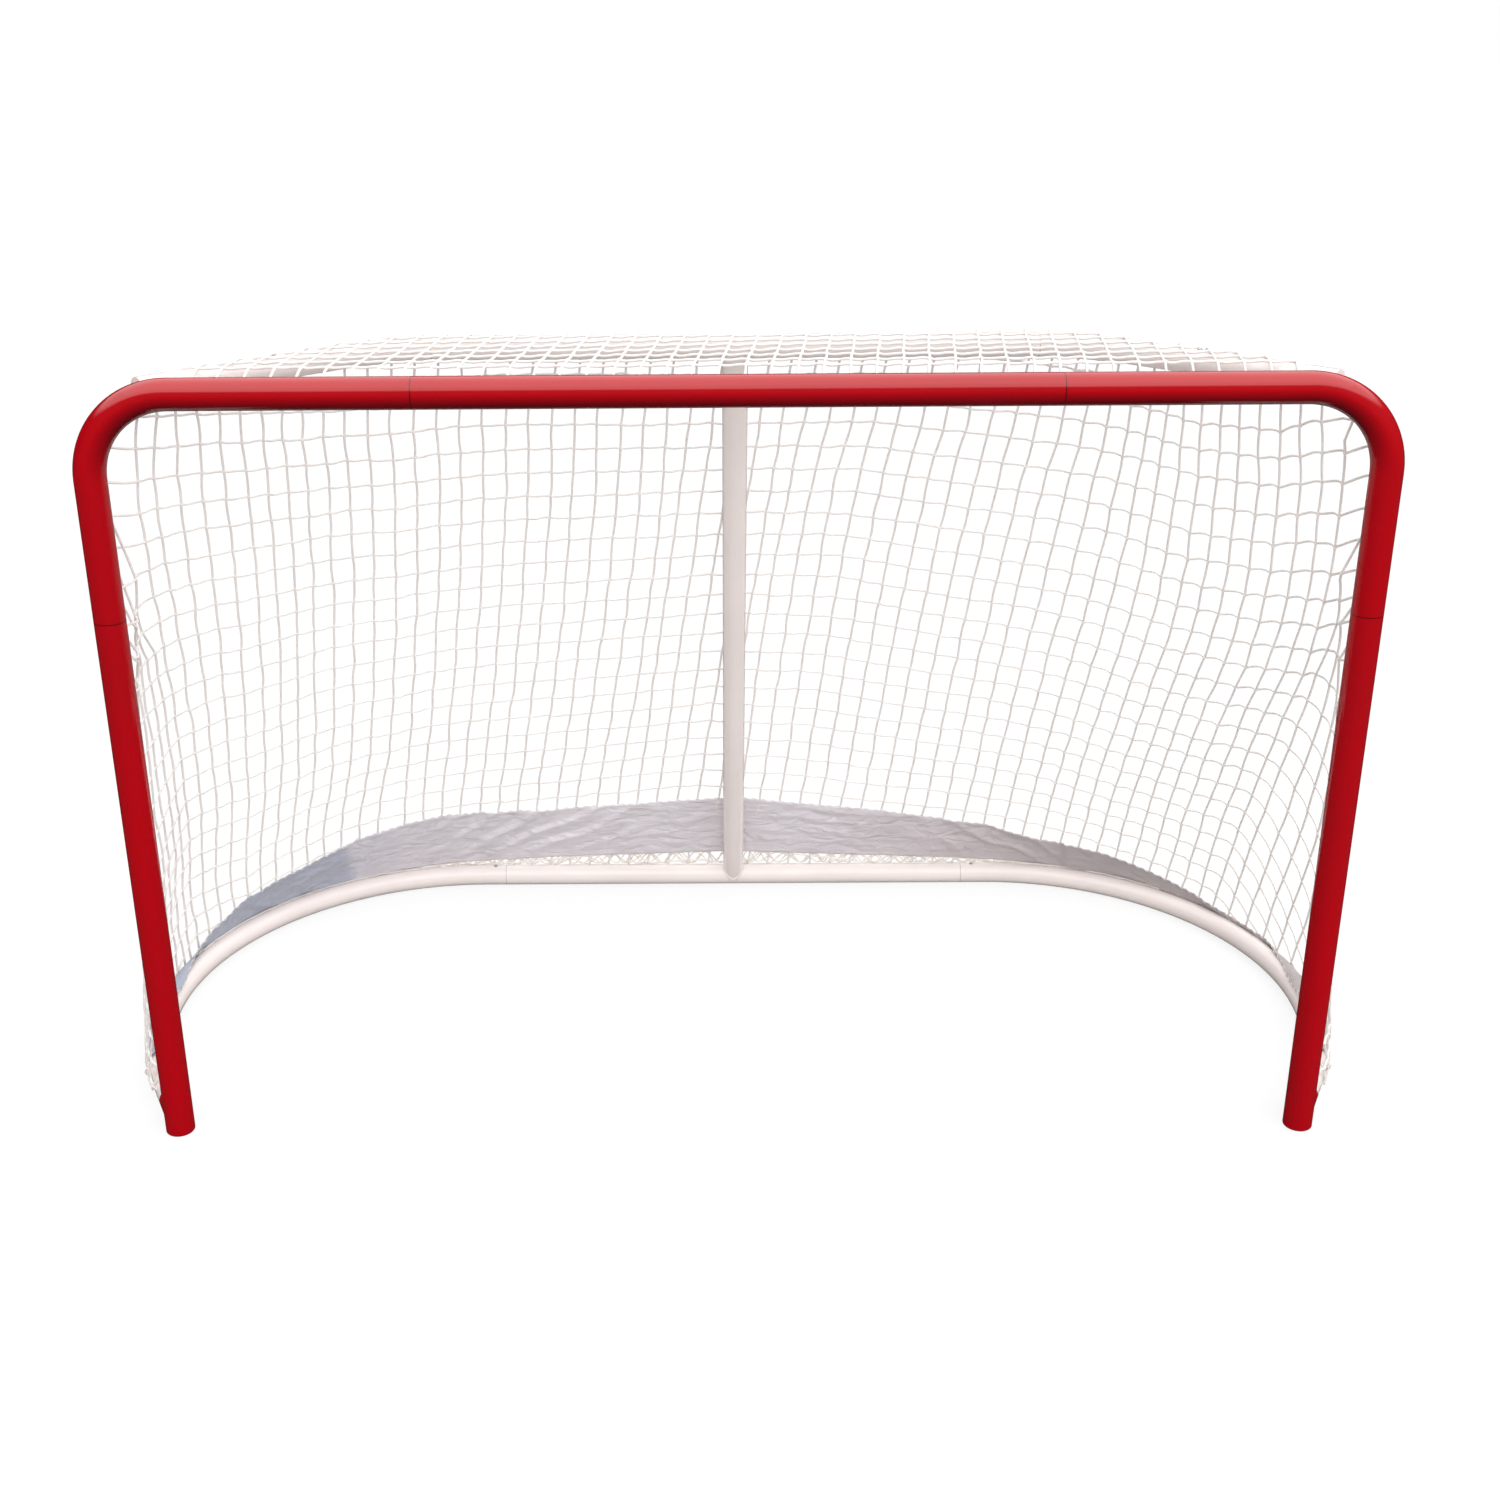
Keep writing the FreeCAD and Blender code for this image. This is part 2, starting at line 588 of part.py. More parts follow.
keep("centre_post", cut("centre_post", centre_tube, centre_cuts))


def saddle(name, tube_radius, y, z, start, direction, screw_place):
    """A shell over the half of a tube that faces the centre post, with a plug inside the post."""
    inside = tube_radius + cell("seat_gap") / 2
    outside = tube_radius + cell("seat_gap") + cell("saddle_thickness")
    ring = cut(f"{name}_ring", cross_rod(f"{name}_outside", outside, saddle_width, y, z),
               cross_rod(f"{name}_inside", inside, saddle_width, y, z))
    lobe_height = outside + cell("seat_gap")
    lobes = cylinder(f"{name}_lobes", cell("saddle_radius"), lobe_height)
    along_post(lobes, start if direction > 0 else start - float(lobe_height))
    plug_height = outside + cell("saddle_plug_length")
    plug = cylinder(f"{name}_plug", frame_bore - cell("sleeve_fit"), plug_height)
    along_post(plug, start if direction > 0 else start - float(plug_height))
    plug_hollow = cylinder(f"{name}_plug_hollow", frame_bore - cell("sleeve_fit") - cell("saddle_thickness"),
                           plug_height)
    along_post(plug_hollow, start if direction > 0 else start - float(plug_height))
    plug_tube = cut(f"{name}_plug_tube", cut(f"{name}_plug_wall", plug, plug_hollow),
                    fuse(f"{name}_cuts", cross_rod(f"{name}_seat", inside, saddle_width, y, z),
                         screw_hole(f"{name}_hole", *screw_place)))
    keep(name, fuse(name, common(f"{name}_shell", ring, lobes), plug_tube))


saddle("lower_saddle", frame_radius, rear_y, base_z, 0.0, 1, low_screw)
saddle("upper_saddle", shelf_radius, shelf_rear_y, bar_z, post_length, -1, high_screw)


def screw(name, tube_radius, point, outward):
    """A pan-headed screw in a tube's wall, its shank towards the tube's axis."""
    turn = Rotation(Z_AXIS, outward)
    seat = float(tube_radius + cell("seat_gap") / 2)
    shank_length = cell("screw_length") + cell("screw_head_height") / 2
    shank = cylinder(f"{name}_shank", cell("screw_shank_radius"), shank_length)
    shank.Placement = Placement(point + outward * (seat - float(cell("screw_length"))), turn)
    head = bound(doc.addObject("Part::Cone", f"{name}_head"), Radius1=cell("screw_head_radius"),
                 Radius2=cell("screw_head_top_radius"), Height=cell("screw_head_height"))
    head.Placement = Placement(point + outward * seat, turn)
    return fuse(name, head, shank)


def group(name, pieces):
    """Separate like solids kept in one file."""
    item = doc.addObject("Part::Compound", name)
    item.Links = pieces
    return keep(name, item)


frame_screws = [screw("bar_screw", bar_radius, *bar_screw), screw("post_screw", bar_radius, *post_screw)]
group("frame_screws", frame_screws + [other_side(item) for item in frame_screws])
stub_screws = [screw("stub_screw", frame_radius, *stub_screw)]
group("stub_screws", stub_screws + [other_side(item) for item in stub_screws])
group("saddle_screws", [screw("low_saddle_screw", frame_radius, *low_screw),
                        screw("high_saddle_screw", frame_radius, *high_screw)])

# Hooks: wire staples welded outside the tubes, which hold the net's border cords
def hook(name, tube_radius):
    """A staple over a tube that lies along Y and has its outside facing +X."""
    ring = bound(doc.addObject("Part::Torus", f"{name}_ring"), Radius1=cell("hook_radius"),
                 Radius2=cell("hook_wire") / 2)
    place(ring, x=tube_radius, axis=X_AXIS, angle=QUARTER)
    room_height = cell("hook_wire") * 2
    room = cylinder(f"{name}_room", tube_radius + weld_gap, room_height)
    place(room, y=room_height / 2, axis=X_AXIS, angle=QUARTER)
    return cut(name, ring, room)


bar_hook = hook("bar_hook", bar_radius)
frame_hook = hook("frame_hook", frame_radius)
doc.recompute()


def turned(x_way, y_way):
    """The rotation that takes +X and +Y to these two directions."""
    return Rotation(x_way, y_way, x_way.cross(y_way), "XYZ")


def spaced(first, last):
    """Places from first to last, about a hook's spacing apart."""
    count = max(1, round((last - first) / float(cell("hook_spacing"))))
    return [first + (last - first) * step / count for step in range(count + 1)]


def floor_tube_place(distance):
    """A point on the floor tube's axis, this far from the post's, and its heading in degrees."""
    straight, turn = float(base_straight), float(heading)
    front, rear = float(cell("base_front_radius")), float(cell("base_rear_radius"))
    x, y = float(post_x), float(front_y)
    if distance < straight:
        way = math.radians(turn)
        return Vector(x + distance * math.sin(way), y + distance * math.cos(way), float(base_z)), turn
    distance -= straight
    if distance < math.radians(turn) * front:
        turn -= math.degrees(distance / front)
        way = math.radians(turn)
        x = float(base_wide_x) - front * (1 - math.cos(way))
        return Vector(x, float(front_y + base_wide_y) - front * math.sin(way), float(base_z)), turn
    distance -= math.radians(turn) * front
    if distance < math.pi / 2 * rear:
        way = distance / rear
        x = float(base_bend_x) + rear * math.cos(way)
        y = float(front_y + base_wide_y) + rear * math.sin(way)
        return Vector(x, y, float(base_z)), -math.degrees(way)
    return Vector(float(base_bend_x) - (distance - math.pi / 2 * rear), float(rear_y), float(base_z)), -90.0


floor_tube_half = float(base_straight) + math.radians(float(heading)) * float(cell("base_front_radius"))
floor_tube_half += math.pi / 2 * float(cell("base_rear_radius")) + float(base_bend_x)
cord_offset = cell("seat_gap") + cell("cord_radius")
hooks = {"mouth_hooks": [], "base_hooks": []}


def add_hook(batch, prototype, point, outward, along):
    staple = prototype.Shape.copy()
    staple.Placement = Placement(point, turned(outward, along)).multiply(prototype.Shape.Placement)
    hooks[batch].append(staple)


margin = float(cell("hook_end_margin"))
cord_behind = bar_radius + cord_offset + cell("cord_radius") + cell("seat_gap")
cord_end_x = float(shelf_foot_x - (cord_behind * sine(lean_in) + shelf_radius) / cosine(lean_in))
for x in spaced(-cord_end_x + margin, cord_end_x - margin):
    add_hook("mouth_hooks", bar_hook, Vector(x, float(front_y), float(bar_z)), Y_AXIS, X_AXIS)
post_cord_low = float(frame_radius) * 2 + float(cell("seat_gap")) * 2
for side in (1, -1):
    for z in spaced(post_cord_low + margin, float(corner_z)):
        add_hook("mouth_hooks", bar_hook, Vector(float(post_x) * side, float(front_y), z), Y_AXIS, Z_AXIS)
    for distance in spaced(float(base_straight) + margin, floor_tube_half - float(cell("hook_spacing")) / 2):
        point, turn = floor_tube_place(distance)
        sideways, backwards = math.sin(math.radians(turn)), math.cos(math.radians(turn))
        add_hook("base_hooks", frame_hook, Vector(point.x * side, point.y, point.z),
                 Vector(side * backwards, -sideways, 0), Vector(side * sideways, backwards, 0))
for name, staples in hooks.items():
    batch = doc.addObject("Part::Feature", name)
    batch.Shape = Part.makeCompound(staples)
    keep(name, batch)

# Border cords of the net, through the hooks
cord_radius = cell("cord_radius")
crossbar_cord_length = sized(cord_end_x * 2)
cord_y = front_y + bar_radius + cord_offset
keep("crossbar_cord", place(cylinder("crossbar_cord", cord_radius, crossbar_cord_length),
                            y=cord_y, z=bar_z, **lengthwise(crossbar_cord_length)))
keep_pair("post_cord", place(bent_rod("post_cord", cord_radius, [
    (corner_z - post_cord_low,),
    (cell("corner_radius"), QUARTER / 2),
]), post_x, cord_y, sized(post_cord_low), UP_THE_POST, UP_THE_POST_TURN))
outer = frame_radius + cord_offset
keep("base_cord", place(bent_rod("base_cord", cord_radius, [
    (cell("base_front_radius") + outer, heading),
    (cell("base_rear_radius") + outer, QUARTER),
    (base_bend_x * 2,),
    (cell("base_rear_radius") + outer, QUARTER),
    (cell("base_front_radius") + outer, heading),
]), post_x + base_straight * sine(heading) + outer * cosine(heading),
    front_y + base_straight * cosine(heading) - outer * sine(heading), base_z, Z_AXIS, QUARTER - heading))


# Net panels: flat pieces of square mesh that lie outside the white tubes
def meeting(one, along, two, across):
    """Where two lines, each a point and a direction, cross in plan."""
    spread = along.x * across.y - along.y * across.x
    return one + along * (((two.x - one.x) * across.y - (two.y - one.y) * across.x) / spread)


def taken_in(corners, amounts):
    """A convex outline in a plane, each side moved in by its own amount."""
    inner = []
    for here in range(len(corners)):
        lines = []
        for first, second in ((here - 1, here), (here, (here + 1) % len(corners))):
            way = (corners[second] - corners[first]).normalize()
            lines.append((corners[first] + Vector(-way.y, way.x, 0) * amounts[first], way))
        (one, along), (two, across) = lines
        inner.append(meeting(one, along, two, across))
    return inner


def clipped(shape, corners):
    """The part of one convex outline that lies in another."""
    for first, second in zip(corners, corners[1:] + corners[:1]):
        way = second - first
        kept = []
        for here, there in zip(shape, shape[1:] + shape[:1]):
            depth, next_depth = ((way.x * (p.y - first.y) - way.y * (p.x - first.x)) for p in (here, there))
            if depth >= 0:
                kept.append(here)
            if depth * next_depth < 0:
                kept.append(here + (there - here) * (depth / (depth - next_depth)))
        shape = kept
        if len(shape) < 3:
            return []
    return shape


def area(shape):
    return sum(p.x * q.y - q.x * p.y for p, q in zip(shape, shape[1:] + shape[:1])) / 2


def face_normal(corners):
    return (corners[1] - corners[0]).cross(corners[2] - corners[0]).normalize()


def seam_amounts(corners, others):
    """How far each side is taken in, so that panels that meet at an angle stay a seam's gap apart."""
    amounts = []
    for first, second in zip(corners, corners[1:] + corners[:1]):
        amount = float(cell("net_seam")) / 2
        for other in others:
            for start, end in zip(other, other[1:] + other[:1]):
                if (start - second).Length + (end - first).Length < float(cell("net_seam")):
                    fold = face_normal(corners).getAngle(face_normal(other))
                    amount += float(cell("net_thickness")) / 2 * math.tan(fold / 2)
        amounts.append(amount)
    return amounts


def net_panel(name, corners, others=()):
    """A holed face through the corners, given counter-clockwise from outside, and its thickness."""
    normal = face_normal(corners)
    across = Z_AXIS.cross(normal)
    across = X_AXIS if across.Length < 0.5 else across.normalize()
    up = normal.cross(across)
    middle = sum(corners[1:], corners[0]) * (1 / len(corners))
    flat = [Vector((p - middle).dot(across), (p - middle).dot(up), 0) for p in corners]
    border = taken_in(flat, [float(cell("net_border"))] * len(flat))
    pitch, gap = float(cell("net_pitch")), float(cell("net_pitch") - cell("net_strand"))
    wires = []
    columns = range(math.floor(min(p.x for p in flat) / pitch), math.ceil(max(p.x for p in flat) / pitch) + 1)
    rows = range(math.floor(min(p.y for p in flat) / pitch), math.ceil(max(p.y for p in flat) / pitch) + 1)
    for column in columns:
        for row in rows:
            x, y = column * pitch, row * pitch
            square = [Vector(x, y, 0), Vector(x + gap, y, 0), Vector(x + gap, y + gap, 0),
                      Vector(x, y + gap, 0)]
            opening = clipped(square, border)
            if opening and area(opening) > gap * gap * float(cell("net_least_share")):
                wires.append(opening)
    turn = Rotation(across, up, normal, "XYZ")
    lift = normal * (float(cell("net_thickness")) / 2)

    def wire(outline):
        points = [middle - lift + turn.multVec(p) for p in outline]
        return Part.makePolygon(points + points[:1])

    edge = taken_in(flat, seam_amounts(corners, others))
    face = Part.Face([wire(edge)] + [wire(opening[::-1]) for opening in wires])
    panel = doc.addObject("Part::Feature", name)
    panel.Shape = face.extrude(lift * 2)
    print(name, "gaps", len(wires))
    return panel


post_clear = float(frame_radius + cell("seat_gap") + cell("skirt_thickness") + cell("skirt_gap") * 2)
net_offset = post_clear + float(cell("net_thickness")) / 2
roof_under = float(bar_z + shelf_radius + cell("seat_gap"))
net_top = roof_under - float(cell("net_thickness")) / 2
net_bottom = float(cell("net_low"))
level = float(bar_z - base_z)


def heading_vectors(turn_in):
    """The direction along the tubes and the outward one, at a heading in degrees inwards."""
    way = math.radians(turn_in)
    return Vector(-math.sin(way), math.cos(way), 0), Vector(math.cos(way), math.sin(way), 0)


def floor_support(turn_in):
    """The floor tube's axis where it has this heading."""
    middle = Vector(float(base_bend_x), float(front_y + base_wide_y), 0)
    return middle + heading_vectors(turn_in)[1] * float(cell("base_rear_radius"))


def shelf_support(turn_in):
    """The top tube's axis where it has this heading; its leg's end where it never has."""
    if turn_in < float(lean_in):
        return Vector(float(arm_x), float(arm_y), 0)
    middle = Vector(float(shelf_rear_x), float(shelf_rear_y - cell("shelf_bend_radius")), 0)
    return middle + heading_vectors(turn_in)[1] * float(cell("shelf_bend_radius"))


def side_line(turn_in, z, offset):
    """The line, at a height, on the plane that leans from tube to tube and lies this far outside them."""
    outward = heading_vectors(turn_in)[1]
    low, high = floor_support(turn_in), shelf_support(turn_in)
    slope = (low - high).dot(outward) / level
    out = offset * math.sqrt(1 + slope * slope) - (z - float(base_z)) * slope
    return low + outward * out, heading_vectors(turn_in)[0]


def corner_point(one_turn, two_turn, z):
    """Where two such planes meet at a height."""
    (one, along), (two, across) = (side_line(turn, z, net_offset) for turn in (one_turn, two_turn))
    point = meeting(one, along, two, across)
    return Vector(point.x, point.y, z)


side_turn, corner_turn = float(cell("side_turn")), float(cell("corner_turn"))
leg_turn, rear_turn = float(lean_in), 90.0
behind_hooks = float(front_y + bar_radius + hook_reach + cell("seat_gap") + cell("net_thickness") / 2)
foot = Vector(float(post_x), behind_hooks, float(cell("net_front_low")))
shoulder = Vector(float(post_x), behind_hooks, float(corner_z))
leg_line, leg_way = side_line(leg_turn, net_top, net_offset)
ear_y = behind_hooks + float(shelf_radius) * (2 * math.sin(math.radians(leg_turn)) - 1)
ear = leg_line - leg_way * ((leg_line.y - ear_y) / leg_way.y)
ear = Vector(ear.x, ear.y, net_top)
side_slope_low = corner_point(side_turn, leg_turn, net_bottom)
side_low, side_way = side_line(side_turn, net_bottom, net_offset)
side_low = side_low - side_way * float(cell("base_front_radius")) * math.radians(side_turn)
toe = Vector(side_low.x, side_low.y, net_bottom)
rear_low, rear_high = (corner_point(corner_turn, rear_turn, z) for z in (net_bottom, net_top))
corner_low, corner_high = (corner_point(leg_turn, corner_turn, z) for z in (net_bottom, net_top))
side_panels = {
    "side_net_post": [foot, toe, shoulder],
    "side_net_shoulder": [toe, ear, shoulder],
    "side_net_front": [toe, side_slope_low, ear],
    "side_net_middle": [side_slope_low, corner_low, corner_high, ear],
    "side_net_rear": [corner_low, rear_low, rear_high, corner_high],
}


def mirrored(point):
    return Vector(-point.x, point.y, point.z)


back = [rear_low, mirrored(rear_low), mirrored(rear_high), rear_high]
all_panels = list(side_panels.values()) + [back]
all_panels += [[mirrored(point) for point in reversed(corners)] for corners in side_panels.values()]
for name, corners in side_panels.items():
    keep_pair(name, net_panel(name, corners, all_panels))
keep("back_net", net_panel("back_net", back, all_panels))
roof_z = roof_under + float(cell("net_thickness")) / 2
bar_back = math.sqrt(float(bar_radius + cell("seat_gap")) ** 2 - (roof_under - float(bar_z)) ** 2)
roof = [Vector(ear.x, float(front_y) + bar_back, roof_z)]
roof += [Vector(point.x, point.y, roof_z) for point in (ear, corner_high, rear_high)]
roof_panel = net_panel("roof_panel", roof + [mirrored(p) for p in reversed(roof)])
button_rooms = []
for side in (1, -1):
    room = cylinder(f"button_room_{len(button_rooms)}", cell("button_radius") * 2, bar_z)
    button_rooms.append(place(room, shelf_button_x * side, shelf_button_y, bar_z))
keep("roof_net", cut("roof_net", roof_panel, fuse("button_rooms", *button_rooms)))


# Skirt: a strip of cloth along the foot of the net, inside it and behind the centre post
def between(value, *steps):
    """A height that changes steadily from one (place, height) to the next."""
    for (first, low), (second, high) in zip(steps, steps[1:]):
        if value <= second:
            return low + (high - low) * max(0.0, value - first) / (second - first)
    return steps[-1][1]


skirt_offset = (float(frame_radius) + post_clear) / 2
skirt_corner = floor_tube_half - float(base_bend_x) - math.pi / 4 * float(cell("base_rear_radius"))
skirt_rear = floor_tube_half - float(base_bend_x)


def skirt_section(distance, side):
    """The strip's outline where it crosses the floor tube, this far along it from the post."""
    point, turn = floor_tube_place(distance)
    outward = heading_vectors(-turn)[1]
    slope = (floor_support(-turn) - shelf_support(-turn)).dot(outward) / level
    hem = between(distance, (skirt_rear, float(cell("skirt_side_hem"))),
                  (floor_tube_half, float(cell("skirt_centre_hem"))))
    top = between(distance, (0, float(cell("skirt_end_top"))), (skirt_corner, float(cell("skirt_side_top"))),
                  (floor_tube_half, float(cell("skirt_centre_top"))))
    start, front = float(cell("skirt_start")), float(cell("skirt_front_length"))
    share = between(distance, (front, 0.0), (skirt_corner * float(cell("skirt_upright_share")), 1.0))
    flat = float(cell("skirt_flat_width"))
    along = (distance - start) / (floor_tube_half - start)
    swing = math.cos(2 * math.pi * float(cell("skirt_folds")) * along)
    fold = float(cell("skirt_fold")) * (1 - swing) / 2 * between(abs(point.x), (flat, 0.0), (flat * 3, 1.0))
    fold = max(fold, float(cell("skirt_belly")))
    half = float(cell("skirt_thickness")) / 2

    def at(z, shift):
        leaning = skirt_offset * math.sqrt(1 + slope * slope) - (z - float(base_z)) * slope
        out = share * leaning - (1 - share) * float(cell("skirt_front_inset")) + shift
        return Vector((point.x + outward.x * out) * side, point.y + outward.y * out, z)

    middle = (hem + top) / 2
    low_out, high_out = at(hem, half - fold / 2), at(top, half)
    low_in, high_in = at(hem, -half - fold / 2), at(top, -half)
    return Part.Wire([Part.Arc(low_out, at(middle, half - fold), high_out).toShape(),
                      Part.LineSegment(high_out, high_in).toShape(),
                      Part.Arc(high_in, at(middle, -half - fold), low_in).toShape(),
                      Part.LineSegment(low_in, low_out).toShape()])


step_count = round(float(cell("skirt_folds")) * float(cell("skirt_fold_steps")))
skirt_begin = float(cell("skirt_start"))
half_places = [skirt_begin + (floor_tube_half - skirt_begin) * step / step_count
               for step in range(step_count + 1)]
sections = [skirt_section(distance, 1) for distance in half_places]
sections += [skirt_section(distance, -1) for distance in half_places[-2::-1]]
skirt = doc.addObject("Part::Feature", "skirt")
skirt.Shape = Part.makeLoft(sections, True, True)
keep("skirt", skirt)

doc.recompute()
failed = [item.Name for item in doc.Objects if "Invalid" in item.State or "Error" in item.State]
failed += [name for name, item in nodes.items() if item.Shape.isNull() or not item.Shape.isValid()]
if failed:
    raise RuntimeError("failed: " + ", ".join(failed))
print(len(nodes), "pieces,", sum(len(item.Shape.Solids) for item in nodes.values()), "solids")
os.makedirs("parts", exist_ok=True)
for name, item in nodes.items():
    item.Shape.exportStep(f"parts/{name}.step")
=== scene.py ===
"""Looks of an ice hockey goal: red and white coated tubes, knotted netting and a cloth skirt."""

import math
import random

import bpy
import numpy as np
from mathutils import Matrix, Vector, noise


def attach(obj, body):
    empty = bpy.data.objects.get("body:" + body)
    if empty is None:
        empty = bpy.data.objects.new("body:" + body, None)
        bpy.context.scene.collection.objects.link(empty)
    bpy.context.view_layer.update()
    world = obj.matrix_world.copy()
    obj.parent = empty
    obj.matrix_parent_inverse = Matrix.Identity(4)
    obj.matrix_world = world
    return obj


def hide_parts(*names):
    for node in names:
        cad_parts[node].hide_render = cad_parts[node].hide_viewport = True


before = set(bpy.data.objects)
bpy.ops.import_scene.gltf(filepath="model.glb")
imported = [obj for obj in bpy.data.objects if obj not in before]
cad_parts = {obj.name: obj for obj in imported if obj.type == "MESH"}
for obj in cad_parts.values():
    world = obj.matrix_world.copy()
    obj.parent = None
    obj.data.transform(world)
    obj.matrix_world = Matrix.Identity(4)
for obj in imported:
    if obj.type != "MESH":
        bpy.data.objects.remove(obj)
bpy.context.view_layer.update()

# The view, the light and the floor: the goal stands on white paper under an even bright sky,
# and is seen from in front, a little above the crossbar.
VIEW_FROM = Vector((-0.0304, -3.1004, 1.8157))
VIEW_DOWN, VIEW_TURN, VIEW_ROLL = (math.radians(angle) for angle in (23.062, 0.232, -0.409))
PICTURE_WIDTH = 1500                    # pixels
FOCAL_PIXELS = 1871.5
CENTRE_PIXEL = 711.2                    # where the lens axis meets the picture, from the left
SKY_LEVEL, SKY_RISE = 0.60, 0.55        # light from all round, and how it grows with height
SKY_FRONT, SKY_RIGHT = 1.25, 0.58       # light from in front, and what the right has over the left
MIRRORED_LOW, MIRRORED_HIGH = 0.012, 1.85           # what gloss shows low down and high up
MIRRORED_EDGE, MIRRORED_BLUR = 0.44, 0.07           # sine of the height between them, and how soft it is
SOFTBOX_LEVEL = 0.34                    # light from the lamp overhead
FLOOR_REACH, FLOOR_Z = 30.0, -0.0005


def linear(colour):
    """An sRGB hex colour as linear RGBA."""
    parts = [int(colour[k:k + 2], 16) / 255 for k in (1, 3, 5)]
    return [v / 12.92 if v <= 0.04045 else ((v + 0.055) / 1.055) ** 2.4 for v in parts] + [1.0]


def add_node(tree, kind, inputs=None, **settings):
    """Adds a node to a tree. An input is a value, or another node with the name of its output."""
    node = tree.nodes.new(kind)
    for name, value in settings.items():
        setattr(node, name, value)
    for name, value in (inputs or {}).items():
        if isinstance(value, tuple) and isinstance(value[0], bpy.types.Node):
            tree.links.new(value[0].outputs[value[1]], node.inputs[name])
        else:
            node.inputs[name].default_value = value
    return node


scene = bpy.context.scene
scene.view_settings.view_transform = "Standard"
lens = bpy.data.cameras.new("view")
lens.sensor_width = 36.0
lens.lens = FOCAL_PIXELS / PICTURE_WIDTH * lens.sensor_width
lens.shift_x = 0.5 - CENTRE_PIXEL / PICTURE_WIDTH
camera = bpy.data.objects.new("view", lens)
camera.matrix_world = (Matrix.Translation(VIEW_FROM) @ Matrix.Rotation(VIEW_TURN, 4, "Z")
                       @ Matrix.Rotation(math.pi / 2 - VIEW_DOWN, 4, "X")
                       @ Matrix.Rotation(VIEW_ROLL, 4, "Z"))
scene.collection.objects.link(camera)
scene.camera = camera

softbox = bpy.data.lights.new("softbox", "AREA")
softbox.shape = "RECTANGLE"
softbox.size, softbox.size_y = 8.0, 5.0
softbox.energy = SOFTBOX_LEVEL * math.pi * softbox.size * softbox.size_y
overhead = bpy.data.objects.new("softbox", softbox)
overhead.location = (0, -0.8, 4.4)
scene.collection.objects.link(overhead)

world = bpy.data.worlds.new("studio")
scene.world = world
world.use_nodes = True
sky = world.node_tree
sky.nodes.clear()
rays = add_node(sky, "ShaderNodeLightPath")
ways = add_node(sky, "ShaderNodeTexCoord")
way = add_node(sky, "ShaderNodeSeparateXYZ", {0: (ways, "Generated")})
above = add_node(sky, "ShaderNodeMath", {0: (way, "Z"), 1: 0.0}, operation="MAXIMUM")
ahead = add_node(sky, "ShaderNodeMath", {0: (way, "Y"), 1: -1.0}, operation="MULTIPLY")
facing = add_node(sky, "ShaderNodeMath", {0: (ahead, 0), 1: 0.0}, operation="MAXIMUM")
light = SKY_LEVEL
for part, growth in (((above, 0), SKY_RISE), ((facing, 0), SKY_FRONT), ((way, "X"), SKY_RIGHT)):
    light = (add_node(sky, "ShaderNodeMath", {0: part, 1: growth, 2: light}, operation="MULTIPLY_ADD"), 0)
mirrored = add_node(sky, "ShaderNodeMapRange",
                    {0: (way, "Z"), 1: MIRRORED_EDGE - MIRRORED_BLUR, 2: MIRRORED_EDGE + MIRRORED_BLUR,
                     3: MIRRORED_LOW, 4: MIRRORED_HIGH})
shown = add_node(sky, "ShaderNodeMath", {0: (rays, "Is Camera Ray"), 1: (rays, "Is Transmission Ray")},
                 operation="MAXIMUM")
lighting = add_node(sky, "ShaderNodeMix",
                    {"Factor": (rays, "Is Glossy Ray"), 2: light, 3: (mirrored, 0)})
strength = add_node(sky, "ShaderNodeMix", {"Factor": (shown, 0), 2: (lighting, 0), 3: 1.0})
backdrop = add_node(sky, "ShaderNodeBackground", {"Color": (1, 1, 1, 1), "Strength": (strength, 0)})
add_node(sky, "ShaderNodeOutputWorld", {"Surface": (backdrop, 0)})

floor_mesh = bpy.data.meshes.new("floor")
floor_corners = [(x * FLOOR_REACH, y * FLOOR_REACH, FLOOR_Z)
                 for x, y in ((-1, -1), (1, -1), (1, 1), (-1, 1))]
floor_mesh.from_pydata(floor_corners, [], [(0, 1, 2, 3)])
floor = bpy.data.objects.new("floor", floor_mesh)
scene.collection.objects.link(floor)
paper = bpy.data.materials.new("white_paper_floor")
paper.use_nodes = True
tree = paper.node_tree
tree.nodes.clear()
rays = add_node(tree, "ShaderNodeLightPath")
seen = add_node(tree, "ShaderNodeMath", {0: (rays, "Is Camera Ray"), 1: (rays, "Is Transmission Ray")},
                operation="MAXIMUM")
dull = add_node(tree, "ShaderNodeBsdfDiffuse", {"Color": linear("#ABA8A6")})
dark = add_node(tree, "ShaderNodeBsdfDiffuse", {"Color": linear("#262524")})
bounced = add_node(tree, "ShaderNodeMixShader", {0: (rays, "Is Glossy Ray"), 1: (dull, 0), 2: (dark, 0)})
white = add_node(tree, "ShaderNodeBsdfDiffuse", {"Color": (1, 1, 1, 1)})
glow = add_node(tree, "ShaderNodeEmission", {"Color": (1, 1, 1, 1), "Strength": 1.0})
lifted = add_node(tree, "ShaderNodeMixShader", {0: 0.82, 1: (white, 0), 2: (glow, 0)})
either = add_node(tree, "ShaderNodeMixShader", {0: (seen, 0), 1: (bounced, 0), 2: (lifted, 0)})
add_node(tree, "ShaderNodeOutputMaterial", {"Surface": (either, 0)})
floor_mesh.materials.append(paper)

